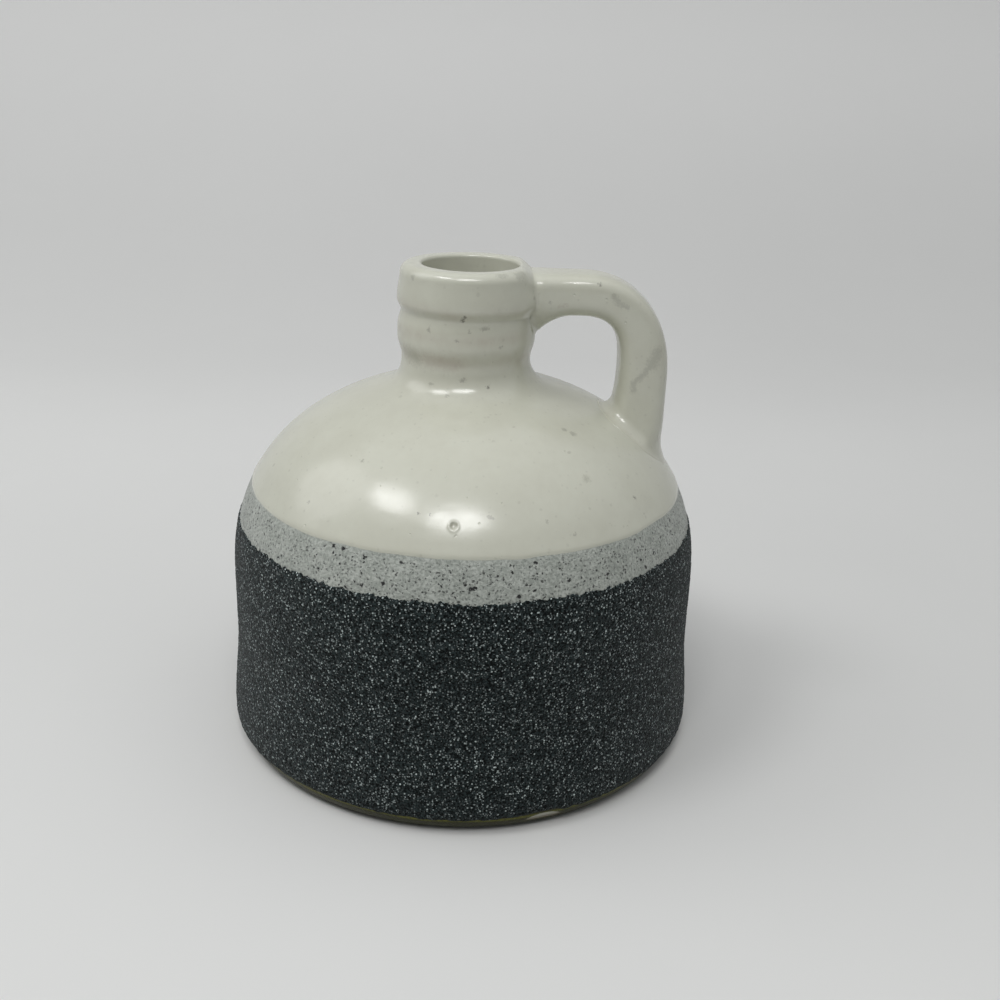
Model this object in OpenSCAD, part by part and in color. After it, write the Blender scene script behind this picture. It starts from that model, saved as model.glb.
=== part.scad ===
// Stoneware jug vase: a thrown body, a ringed neck and a loop handle, under their fired coats.
// Millimetres. +Z is up, the foot rests on z = 0, and the handle stands towards +X.

/* [Body] */
// Diameter of the belly over its coat
belly_d = 140.4; // [120:0.2:170]
// Diameter of the swell just above the foot, over its coat
foot_d = 144; // [136:0.5:175]
// Outer diameter of the ring that the vase rests on
rest_d = 132; // [110:1:134]
// Height of the foot's rounded corner
foot_swell_h = 7; // [4:0.5:12]
// Height at which the flare of the foot has died away into the wall
flare_h = 34; // [20:1:38]
// Height at which the shoulder springs from the wall
spring_h = 50; // [40:1:60]
// Rise of the shoulder's curve from its spring to its crown, over the glaze
dome_rise = 60.5; // [50:0.5:70]
// Fullness of the shoulder's curve, where 2 is an ellipse
shoulder_full = 2.5; // [2:0.1:3]
// Thickness of the wall and the shoulder
wall_t = 5; // [4:0.1:8]
// Height of the inside floor above the table
floor_t = 7; // [5:0.5:10]
// Radius of the corner between the inside wall and the floor
floor_fillet = 12; // [6:1:20]
// Width of the ring that the vase rests on
foot_ring_w = 9; // [6:0.5:14]
// Depth of the turned hollow under the floor
foot_recess = 1.6; // [0.8:0.1:2.4]

/* [Neck] */
// Diameter of the mouth inside its glaze
mouth_d = 28; // [22:0.5:31]
// Diameter of the neck's foot, where it is luted to the shoulder
collar_foot_d = 54; // [50:0.5:62]
// Height of the sweep from the shoulder up to the neck's waist
neck_sweep_h = 9.9; // [6:0.1:14]
// Diameter of the neck's waist
waist_d = 36.4; // [35:0.2:40]
// Height of the straight waist
waist_h = 0.4; // [0.2:0.1:8]
// Diameter of the lower ring
lower_ring_d = 38.8; // [37:0.2:46]
// Height over which the lower ring swells out of the waist
lower_swell_h = 6.2; // [4:0.1:12]
// Height of the lower ring's crest
lower_crest_h = 3.3; // [1:0.1:6]
// Diameter at the bottom of the groove between the rings
groove_d = 38; // [36:0.2:40]
// Height of each side of that groove
groove_side_h = 3.7; // [2:0.1:6]
// Diameter of the upper ring
upper_ring_d = 40.8; // [39:0.2:46]
// Height of the upper ring's crest
upper_crest_h = 0.5; // [0.2:0.1:6]
// Diameter of the rim just under its rounded edge
lip_d = 39.4; // [35:0.2:44]
// Height of the slight taper from the upper ring in to the rim
lip_taper_h = 6.6; // [2:0.1:10]
// Height of the rim's rounded outer edge
lip_round_h = 2.2; // [1.5:0.1:4]
// Share of the rim's thickness that the rounded outer edge takes
lip_round_part = 0.42; // [0.2:0.02:0.6]
// Share of the rim's thickness that the rounded inner edge takes
lip_edge_part = 0.15; // [0.1:0.01:0.3]

/* [Handle] */
// Distance from the belly's outline in to the middle of the handle's upright
handle_inset = 19.2; // [16:0.2:24]
// Height of the handle's middle line above the middle of the upper ring
handle_raise = 1.9; // [-1:0.1:3]
// Width of the handle's strap
strap_w = 17.2; // [13:0.2:22]
// Thickness of the strap where it leaves the neck
strap_top_t = 12.2; // [9:0.2:14]
// Thickness of the strap where it nears the shoulder
strap_low_t = 14.4; // [11:0.2:18]
// Reach of the handle's bend, measured outwards
bend_reach = 20; // [14:0.5:24]
// Drop of the handle's bend, measured downwards
bend_drop = 23.7; // [15:0.1:26]
// Fullness of the handle's bend, where 2 is an ellipse
bend_full = 2.5; // [2:0.1:3]
// Length over which the strap spreads as it meets the neck
root_len = 9; // [4:0.5:14]
// Spread of the strap's underside at the neck
root_spread = 4.6; // [1:0.1:7]
// Spread of each edge of the strap at the neck
root_side = 2.4; // [0.5:0.1:4]
// Height above its landing at which the strap's inside and edges begin to spread
foot_sweep_h = 19; // [12:0.5:24]
// Spread of each edge of the strap at its landing
foot_side = 3.2; // [1:0.1:5]
// Spread of the strap's inside at its landing
foot_inside = 3.4; // [1:0.1:5]
// Depth below the landing at which the strap's back runs out into the shoulder
foot_runout = 14; // [8:0.5:16]

/* [Coats] */
// Thickness of the cream glaze
cream_t = 0.6; // [0.4:0.05:1]
// Thickness of the glaze that lines the inside
liner_t = 0.5; // [0.3:0.05:0.8]
// Thickness of the pale speckled slip
band_t = 0.7; // [0.5:0.05:1.2]
// Thickness of the dark sanded slip
grit_t = 0.9; // [0.6:0.05:1.4]
// Height of the bare foot under the sanded slip
grit_start_h = 2; // [1:0.1:3.5]
// Height of the sanded slip's upper edge
grit_top_h = 68.6; // [62:0.2:74]
// Height of the speckled band between the sanded slip and the cream glaze
band_h = 10.6; // [4:0.2:14]

/* [Hidden] */
$fn = 128;

// Colours of the fired clay, its glazes and its slips
clay_colour = [0.80, 0.74, 0.62];
cream_colour = [0.78, 0.78, 0.71];
liner_colour = [0.62, 0.61, 0.50];
band_colour = [0.60, 0.61, 0.58];
grit_colour = [0.19, 0.24, 0.26];

// Counts of the short straight steps that the turned curves are drawn with
corner_steps = 6;
wall_steps = 26;
band_steps = 6;
shoulder_steps = 22;
ring_steps = 6;
lip_steps = 7;
cavity_steps = 26;
fillet_steps = 7;

// Counts of the handle's cross-sections and of the sides of each
run_steps = 5;
bend_steps = 14;
drop_steps = 12;
strap_sides = 26;

// Length over which a curve's own direction is measured
tangent_step = 0.1;

// Stretch below the lip over which the glaze of the mouth's bore rounds off
bore_ease = 1;
// Depth to which the straight bore runs on below the neck's seat
bore_run = 1;
// Width of the eased edge where the bore opens into the body
edge_ease = 3.5;

// Depth to which the handle's ends reach into the clay before they are trimmed to their seats
root_depth = 5;
foot_sink = 0.5;

// Clay sizes, inside the coats
belly_r = belly_d / 2 - grit_t;
foot_r = foot_d / 2 - grit_t;
rest_r = rest_d / 2;
crown_rise = dome_rise - cream_t;
bore_r = mouth_d / 2 + liner_t;
cavity_r = belly_r - wall_t;
cavity_rise = crown_rise - wall_t;
waist_r = waist_d / 2;
lower_ring_r = lower_ring_d / 2;
groove_r = groove_d / 2;
upper_ring_r = upper_ring_d / 2;
lip_r = lip_d / 2;
collar_foot_r = collar_foot_d / 2;

function lerp(a, b, t) = a + (b - a) * t;
function ease(t) = (1 - cos(180 * t)) / 2;
function steps(n, first = 0) = [for (i = [first : n]) i / n];
function slice(list, from, to) = [for (i = [from : to]) list[i]];
function reversed(list) = [for (i = [len(list) - 1 : -1 : 0]) list[i]];
function bezier(a, b, c, t) = lerp(lerp(a, b, t), lerp(b, c, t), t);

// Radius of the clay wall and shoulder at a height above the foot's corner
function clay_r(z) =
    z > spring_h ? belly_r * sqrt(max(0, 1 - pow((z - spring_h) / crown_rise, shoulder_full)))
    : z > flare_h ? belly_r
    : lerp(foot_r, belly_r, ease((z - foot_swell_h) / (flare_h - foot_swell_h)));

// Height of the clay shoulder, and of the inside of it, at a distance from the axis
function vault_z(r, base, rise) = spring_h + rise * pow(max(0, 1 - pow(r / base, 2)), 1 / shoulder_full);
function shoulder_z(r) = vault_z(r, belly_r, crown_rise);
function cavity_z(r) = vault_z(r, cavity_r, cavity_rise);

// Heights of the neck's bands, stacked from its seat on the shoulder
seat_z = shoulder_z(collar_foot_r);
waist_z = seat_z + neck_sweep_h;
lower_z = waist_z + waist_h;
lower_crest_z = lower_z + lower_swell_h;
groove_z = lower_crest_z + lower_crest_h + groove_side_h;
upper_crest_z = groove_z + groove_side_h;
step_z = upper_crest_z + upper_crest_h;
lip_z = step_z + lip_taper_h;
crest_z = lip_z + lip_round_h;
band_top_h = grit_top_h + band_h;

// Outside of the turned clay, from the rest ring up to the middle of the rim's top
function corner_at(a) = [lerp(rest_r, foot_r, cos(a)), foot_swell_h * (1 - sin(a))];
start_angle = asin(1 - grit_start_h / foot_swell_h);
bare_foot = [for (t = steps(corner_steps)) corner_at(lerp(90, start_angle, t))];
swell = [for (t = steps(corner_steps, 1)) corner_at(lerp(start_angle, 0, t))];
function wall_at(z) = [clay_r(z), z];
wall = [for (t = steps(wall_steps, 1)) wall_at(lerp(foot_swell_h, grit_top_h, t))];
belt = [for (t = steps(band_steps, 1)) wall_at(lerp(grit_top_h, band_top_h, t))];
shoulder = [for (t = steps(shoulder_steps, 1)) wall_at(lerp(band_top_h, seat_z, sin(90 * t)))];

// Outside of the neck: a sweep out of the shoulder, then rings eased from one diameter to the next
shoulder_slope = (shoulder_z(collar_foot_r - tangent_step) - seat_z) / tangent_step;
sweep_foot = [collar_foot_r, seat_z];
sweep_bend = [waist_r, seat_z + (collar_foot_r - waist_r) * shoulder_slope];
sweep_head = [waist_r, waist_z];
function eased(from, to) = [
    for (t = steps(ring_steps, 1))
        [lerp(from[0], to[0], ease(t)), lerp(from[1], to[1], t)]
];
neck = concat(
    [for (t = steps(fillet_steps, 1)) bezier(sweep_foot, sweep_bend, sweep_head, t)],
    [[waist_r, lower_z]],
    eased([waist_r, lower_z], [lower_ring_r, lower_crest_z]),
    [[lower_ring_r, lower_crest_z + lower_crest_h]],
    eased([lower_ring_r, lower_crest_z + lower_crest_h], [groove_r, groove_z]),
    eased([groove_r, groove_z], [upper_ring_r, upper_crest_z]),
    [[upper_ring_r, step_z]],
    eased([upper_ring_r, step_z], [lip_r, lip_z])
);

// The rim: a rounded outer edge, a level top and a small rounded edge down into the bore
lip_round_w = (lip_r - bore_r) * lip_round_part;
lip_edge_w = (lip_r - bore_r) * lip_edge_part;
lip_top_r = lip_r - lip_round_w;
lip_edge_r = bore_r + lip_edge_w;
function rim_outer(a) = [lip_top_r + lip_round_w * cos(a), lip_z + lip_round_h * sin(a)];
function rim_inner(a) = [lip_edge_r - lip_edge_w * sin(a), crest_z - lip_edge_w * (1 - cos(a))];
lip_outside = concat(
    [for (t = steps(lip_steps, 1)) rim_outer(90 * t)],
    [[(lip_top_r + lip_edge_r) / 2, crest_z]]
);
lip_inside = [for (t = steps(lip_steps)) rim_inner(90 * t)];

// Inside of the clay, from the straight bore over the shoulder's eased edge to the middle of the floor
bore = [[bore_r, lip_z - bore_ease], [bore_r, seat_z]];
edge_r = bore_r + edge_ease;
edge_top = [bore_r, seat_z - bore_run];
edge_bend = [bore_r, cavity_z(bore_r)];
edge_foot = [edge_r, cavity_z(edge_r)];
mouth_edge = [for (t = steps(fillet_steps)) bezier(edge_top, edge_bend, edge_foot, t)];
edge_angle = acos(edge_r / cavity_r);
function vault_at(a) = [cavity_r * cos(a), spring_h + cavity_rise * pow(sin(a), 2 / shoulder_full)];
vault = [for (t = steps(cavity_steps, 1)) vault_at(edge_angle * (1 - t))];
function floor_corner_at(a) = [
    cavity_r - floor_fillet * (1 - cos(a)),
    floor_t + floor_fillet * (1 - sin(a))
];
floor_corner = [for (t = steps(fillet_steps)) floor_corner_at(90 * t)];
floor_middle = [0, floor_t];

// The whole turned line, and the direction out of the clay at each of its points
outside = concat(bare_foot, swell, wall, belt, shoulder, neck, lip_outside);
inside = concat(lip_inside, bore, mouth_edge, vault, floor_corner, [floor_middle]);
turned = concat(outside, inside);
last = len(turned) - 1;
function normal_at(i) =
    let (along = turned[min(last, i + 1)] - turned[max(0, i - 1)])
    [along[1], -along[0]] / norm(along);

// Places along the turned line where a coat or a piece begins and ends
grit_start = len(bare_foot) - 1;
grit_end = grit_start + len(swell) + len(wall);
band_end = grit_end + len(belt);
seat_outer = band_end + len(shoulder);
lip_crest = len(outside) - 1;
seat_inner = lip_crest + len(lip_inside) + len(bore);

// A line lying off the turned one by a coat's thickness
function coated(from, to, t) = [for (i = [from : to]) turned[i] + t * normal_at(i)];

// A fired coat on a stretch of the turned clay
module coat(from, to, t) {
    rotate_extrude()
        polygon(concat(slice(turned, from, to), reversed(coated(from, to, t))));
}

// The turned clay with its inside filled, to seat the handle's ends against
module clay_envelope() {
    rotate_extrude()
        polygon(concat([[0, 0]], slice(turned, 0, lip_crest), [[0, turned[lip_crest][1]]]));
}

// Handle: middle line, and the strap's spread where it meets the neck and the shoulder
handle_z = (upper_crest_z + step_z) / 2 + handle_raise;
handle_reach = belly_d / 2 - handle_inset;
bend_x = handle_reach - bend_reach;
bend_z = handle_z - bend_drop;
run_start_x = upper_ring_r - root_depth;
landing_z = shoulder_z(handle_reach);
runout_z = landing_z - foot_runout;
back_r = handle_reach + strap_low_t / 2;
back_spread = clay_r(runout_z) - foot_sink - back_r;

function spread(amount, part) = amount * pow(max(0, min(1, part)), 2);
function root_part(x) = 1 - (x - upper_ring_r) / root_len;
function foot_part(z) = (landing_z + foot_sweep_h - z) / foot_sweep_h;
function back_part(z) = (landing_z - z) / foot_runout;

// Middle line: straight out of the neck, round the bend and down to the shoulder
function bend_at(a) = [
    bend_x + bend_reach * pow(sin(a), 2 / bend_full),
    bend_z + bend_drop * pow(cos(a), 2 / bend_full)
];
middle = concat(
    [for (t = steps(run_steps)) [lerp(run_start_x, bend_x, t), handle_z]],
    [for (t = steps(bend_steps, 1)) bend_at(90 * t)],
    [for (t = steps(drop_steps, 1)) [handle_reach, lerp(bend_z, runout_z, t)]]
);
middle_end = len(middle) - 1;
function bend_part(z) = ease(max(0, min(1, (handle_z - z) / bend_drop)));

// One cross-section: centre, outward direction, half thickness outwards and inwards, half width
function section(i) =
    let (x = middle[i][0], z = middle[i][1])
    let (along = middle[min(middle_end, i + 1)] - middle[max(0, i - 1)])
    let (half_t = lerp(strap_top_t, strap_low_t, bend_part(z)) / 2)
    [
        middle[i],
        [-along[1], along[0]] / norm(along),
        half_t + spread(back_spread, back_part(z)),
        half_t + spread(root_spread, root_part(x)) + spread(foot_inside, foot_part(z)),
        strap_w / 2 + spread(root_side, root_part(x)) + spread(foot_side, foot_part(z))
    ];
sections = [for (i = [0 : middle_end]) section(i)];

// A point on a section's oval outline, swollen by a coat
function strap_point(s, a, coat_t) =
    let (half_t = (sin(a) > 0 ? s[2] : s[3]) + coat_t)
    let (lift = half_t * sin(a))
    [s[0][0] + s[1][0] * lift, (s[4] + coat_t) * cos(a), s[0][1] + s[1][1] * lift];

// The strap lofted through its sections, before its ends are trimmed
module strap(coat_t) {
    n = strap_sides;
    rings = len(sections);
    points = [for (s = sections) for (k = [0 : n - 1]) strap_point(s, 360 * k / n, coat_t)];
    sides = [for (i = [0 : rings - 2]) for (k = [0 : n - 1])
        let (a = i * n + k, b = i * n + (k + 1) % n)
        each [[a, b + n, b], [a, a + n, b + n]]];
    start_cap = [for (k = [0 : n - 1]) k];
    end_cap = [for (k = [n - 1 : -1 : 0]) (rings - 1) * n + k];
    polyhedron(points = points, faces = concat([start_cap], sides, [end_cap]));
}

// Floor, wall and shoulder, turned in one piece with a hollowed foot
module vessel_body() {
    ring_r = rest_r - foot_ring_w;
    color(clay_colour)
        rotate_extrude()
            polygon(concat(
                slice(turned, 0, seat_outer),
                slice(turned, seat_inner, last),
                [[0, foot_recess], [ring_r - foot_recess, foot_recess], [ring_r, 0]]
            ));
}

// Ringed neck with its rounded rim, standing on the shoulder's flat seat
module neck_collar() {
    color(clay_colour)
        rotate_extrude()
            polygon(slice(turned, seat_outer, seat_inner));
}

// Pulled strap, trimmed to sit on the upper ring and the shoulder
module loop_handle() {
    color(clay_colour)
        difference() {
            strap(-cream_t);
            clay_envelope();
        }
}

// Glaze inside the mouth, the neck and the body
module liner_glaze() {
    color(liner_colour)
        coat(lip_crest, last, liner_t);
}

// Cream glaze on the shoulder and the neck, open where the handle stands through it
module cream_glaze() {
    color(cream_colour)
        difference() {
            coat(band_end, lip_crest, cream_t);
            strap(0);
        }
}

// Cream glaze on the handle, down to the clay at both of its ends
module handle_glaze() {
    color(cream_colour)
        difference() {
            strap(0);
            strap(-cream_t);
            clay_envelope();
        }
}

// Pale speckled slip between the cream glaze and the sanded slip
module speckled_band() {
    color(band_colour)
        coat(grit_end, band_end, band_t);
}

// Dark sanded slip on the wall
module grit_coat() {
    color(grit_colour)
        coat(grit_start, grit_end, grit_t);
}

vessel_body();
neck_collar();
loop_handle();
liner_glaze();
cream_glaze();
handle_glaze();
speckled_band();
grit_coat();
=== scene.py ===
"""Looks of the ceramic jug vase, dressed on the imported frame.

The clay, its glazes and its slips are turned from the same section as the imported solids. Sizes are
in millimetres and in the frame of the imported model; the meshes are written in metres.
"""

import logging
from collections.abc import Callable
from dataclasses import dataclass
from enum import Enum
from functools import cached_property, reduce

import bpy
import numpy as np
from mathutils import Matrix, Vector

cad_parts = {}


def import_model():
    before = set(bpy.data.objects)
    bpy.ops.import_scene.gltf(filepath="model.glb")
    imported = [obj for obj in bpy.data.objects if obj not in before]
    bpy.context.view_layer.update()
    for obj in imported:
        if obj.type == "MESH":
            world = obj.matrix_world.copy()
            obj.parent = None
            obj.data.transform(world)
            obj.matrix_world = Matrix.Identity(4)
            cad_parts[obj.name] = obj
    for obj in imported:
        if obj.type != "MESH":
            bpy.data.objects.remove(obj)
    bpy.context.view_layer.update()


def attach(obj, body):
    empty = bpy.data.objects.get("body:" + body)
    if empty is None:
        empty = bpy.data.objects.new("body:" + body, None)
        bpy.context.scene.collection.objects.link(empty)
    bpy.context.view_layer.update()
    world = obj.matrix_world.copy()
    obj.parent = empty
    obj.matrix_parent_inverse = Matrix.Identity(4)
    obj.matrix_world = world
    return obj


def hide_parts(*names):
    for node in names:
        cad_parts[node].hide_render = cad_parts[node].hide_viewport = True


LOG = logging.getLogger("jug_vase")
MM = 0.001
TURN = 2 * np.pi
QUARTER = np.pi / 2
TINY = 1e-6
RISING = 1e-9
LATTICE_ROWS = 97
FINE_STEPS = 4001
SWAY_SCALE = 1.7
# Places of a colour mix's sockets among those for the node's other kinds of data
MIX_UNDER, MIX_OVER, MIX_RESULT = 6, 7, 2

Socket = bpy.types.NodeSocket
Colour = tuple[float, float, float]
Point = tuple[float, float, float]
Place = tuple[float, float]
# A factor, and what is added to the product
Gain = tuple[float, float]
# Place, width and weight of a stretch
Spot = tuple[float, float, float]


def lerp(a: float, b: float, t: np.ndarray) -> np.ndarray:
    """Goes evenly from a to b as t goes from 0 to 1."""
    return a + (b - a) * t


def ease(t: np.ndarray) -> np.ndarray:
    """Half a cosine wave from 0 to 1, held outside that stretch."""
    return (1 - np.cos(np.pi * np.clip(t, 0, 1))) / 2


def smooth(low: float, high: float, value: np.ndarray) -> np.ndarray:
    """Soft step from 0 at low to 1 at high."""
    return ease((np.asarray(value, float) - low) / (high - low))


def bump(value: np.ndarray, width: float) -> np.ndarray:
    """Soft hump of height 1 around 0 with the given half width."""
    return np.exp(-((np.asarray(value, float) / width) ** 2))


def pairs(r: np.ndarray, z: np.ndarray) -> np.ndarray:
    """Points of a section from radii and heights, either of which may be one number."""
    return np.stack(np.broadcast_arrays(r, z), -1)


def bent(first: Place, bend: Place, last: Place, count: int) -> np.ndarray:
    """Curve between two points of the section.

    Args:
        first: Point at which the curve begins.
        bend: Point that both ends of the curve head for.
        last: Point at which the curve ends.
        count: Number of points.

    Returns:
        Points of the curve.
    """
    t = np.linspace(0, 1, count)[:, None]
    start, middle, end = np.array(first), np.array(bend), np.array(last)
    return lerp(lerp(start, middle, t), lerp(middle, end, t), t)


def columns(count: int, gather: float = 0.0) -> np.ndarray:
    """Rising angles round the axis, gathered by a share at the front, at minus a quarter turn."""
    even = np.arange(count) / count * TURN
    return even - gather * np.sin(even) - QUARTER


def graded(count: int, spots: list[Spot]) -> np.ndarray:
    """Places from 0 to 1 that lie closer together around chosen spots.

    Args:
        count: Number of places.
        spots: Stretches that are finer.

    Returns:
        Rising places from 0 to 1.
    """
    fine = np.linspace(0, 1, FINE_STEPS)
    weight = 1 + sum(gain * bump(fine - place, width) for place, width, gain in spots)
    total = np.concatenate([[0], np.cumsum((weight[1:] + weight[:-1]) / 2)])
    return np.interp(np.linspace(0, 1, count), total / total[-1], fine)


def placed(name: str, data: bpy.types.ID) -> bpy.types.Object:
    """New object in the scene.

    Args:
        name: Name of the object.
        data: Its mesh, lamp or camera.

    Returns:
        The object.
    """
    made = bpy.data.objects.new(name, data)
    bpy.context.scene.collection.objects.link(made)
    return made


@dataclass(frozen=True)
class Ripple:
    """Seeded unevenness that closes on itself round the axis.

    It has a height, a number of cells in one turn, a seed and a cell's length along the section.
    """

    height: float
    cells: int
    seed: int
    pitch: float = 1.0

    def at(self, azimuth: np.ndarray, along: np.ndarray | float = 0.0) -> np.ndarray:
        """Unevenness at points of a turned surface.

        Args:
            azimuth: Angles round the axis, in radians.
            along: Distances along the section.

        Returns:
            Values up to the height above and below 0, shaped as the two arguments together.
        """
        lattice = np.random.default_rng(self.seed).uniform(-1, 1, (LATTICE_ROWS, self.cells))
        turned, run = azimuth / TURN % 1 * self.cells, np.asarray(along, float) / self.pitch
        across, up = np.broadcast_arrays(turned, run)
        column, row = np.floor(across).astype(int), np.floor(up).astype(int)
        part_c, part_r = ease(across - column), ease(up - row)

        def corner(d_row: int, d_column: int) -> np.ndarray:
            """Lattice value at one corner of each point's cell."""
            return lattice[(row + d_row) % LATTICE_ROWS, (column + d_column) % self.cells]

        low = lerp(corner(0, 0), corner(0, 1), part_c)
        high = lerp(corner(1, 0), corner(1, 1), part_c)
        return self.height * lerp(low, high, part_r)


def rippled(ripples: tuple[Ripple, ...], azimuth: np.ndarray, along: np.ndarray | float = 0.0) -> np.ndarray:
    """Several kinds of unevenness together."""
    return sum(ripple.at(azimuth, along) for ripple in ripples)


class TurnedLine:
    """A line of the jug's section, measured along its own length."""

    probe = 0.25

    def __init__(self, points: np.ndarray) -> None:
        """Measures the line.

        Args:
            points: Radius and height of its points, in order.
        """
        step = np.hypot(*np.diff(points, axis=0).T)
        kept = step > TINY
        self.points = points[np.concatenate([[True], kept])]
        self.lengths = np.concatenate([[0], np.cumsum(step[kept])])

    @property
    def length(self) -> float:
        """Whole length of the line."""
        return float(self.lengths[-1])

    def at(self, along: np.ndarray) -> np.ndarray:
        """Radius and height at distances along the line."""
        return np.stack([np.interp(along, self.lengths, self.points[:, i]) for i in (0, 1)], -1)

    def normals(self, along: np.ndarray) -> np.ndarray:
        """Directions out of the clay.

        Args:
            along: Distances along the line.

        Returns:
            Unit directions in the section.
        """
        run = self.at(np.asarray(along) + self.probe) - self.at(np.asarray(along) - self.probe)
        out = np.stack([run[..., 1], -run[..., 0]], -1)
        return out / np.maximum(np.linalg.norm(out, axis=-1, keepdims=True), TINY)

    def lifted(self, along: np.ndarray, lift: np.ndarray | float) -> np.ndarray:
        """Points that stand off the line by a lift."""
        return self.at(along) + np.asarray(lift)[..., None] * self.normals(along)

    def where_height(self, height: np.ndarray | float) -> np.ndarray:
        """Distance along the line at which it first reaches a height."""
        top = int(np.argmax(self.points[:, 1]))
        return np.interp(height, self.points[: top + 1, 1], self.lengths[: top + 1])


class Grid:
    """A sheet of points in rows and columns that becomes a closed mesh."""

    def __init__(self, name: str, rows: np.ndarray) -> None:
        """Takes the sheet's points.

        Args:
            name: Name of the piece.
            rows: Points in space, by row and by column round the piece.
        """
        self.name = name
        self.rows = rows
        self.marks: dict[str, np.ndarray] = {}

    @classmethod
    def shell(cls, name: str, outer: np.ndarray, inner: np.ndarray) -> "Grid":
        """Outer skin and inner skin joined into one closed ring."""
        return cls(name, np.concatenate([outer, inner[::-1]]))

    def paint(self, label: str, outer: np.ndarray) -> None:
        """Keeps a value for the shader at each point; rows that aren't given get 0.

        Args:
            label: Name of the attribute.
            outer: Values on the first rows.
        """
        values = np.zeros(self.rows.shape[:2])
        values[: len(outer)] = outer
        self.marks[label] = values

    def faces(self, closed: bool) -> list[list[int]]:
        """Quads between neighbouring rows and columns.

        Args:
            closed: Whether the last row joins on to the first.

        Returns:
            Point numbers of each face, turned outwards.
        """
        count, wide = self.rows.shape[:2]
        index = np.arange(count * wide).reshape(count, wide)
        low = index if closed else index[:-1]
        high = np.roll(index, -1, 0) if closed else index[1:]
        quads = np.stack([low, np.roll(low, -1, 1), np.roll(high, -1, 1), high], -1)
        return quads.reshape(-1, 4).tolist()

    def ring(self) -> bpy.types.Object:
        """Mesh whose last row joins on to the first."""
        return self.finished(self.rows.reshape(-1, 3), self.faces(True))

    def poled(self, first: Point, last: Point) -> bpy.types.Object:
        """Mesh that closes at one point before its first row and at another after its last.

        Args:
            first: Point that closes the first row.
            last: Point that closes the last row.

        Returns:
            The new object.
        """
        count, wide = self.rows.shape[:2]
        start, end = count * wide, count * wide + 1
        tail = (count - 1) * wide
        faces = self.faces(False)
        faces += [[start, (k + 1) % wide, k] for k in range(wide)]
        faces += [[end, tail + k, tail + (k + 1) % wide] for k in range(wide)]
        return self.finished(np.concatenate([self.rows.reshape(-1, 3), [first, last]]), faces)

    def finished(self, points: np.ndarray, faces: list[list[int]]) -> bpy.types.Object:
        """Writes the mesh, its painted values and its object.

        Args:
            points: Points in millimetres.
            faces: Point numbers of each face.

        Returns:
            The new object, linked to the scene.
        """
        mesh = bpy.data.meshes.new(self.name)
        mesh.from_pydata((points * MM).tolist(), [], faces)
        mesh.shade_smooth()
        for label, values in self.marks.items():
            layer = mesh.attributes.new(label, "FLOAT", "POINT")
            flat = np.zeros(len(points), np.float32)
            flat[: values.size] = values.ravel()
            layer.data.foreach_set("value", flat)
        return placed(self.name, mesh)


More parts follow.
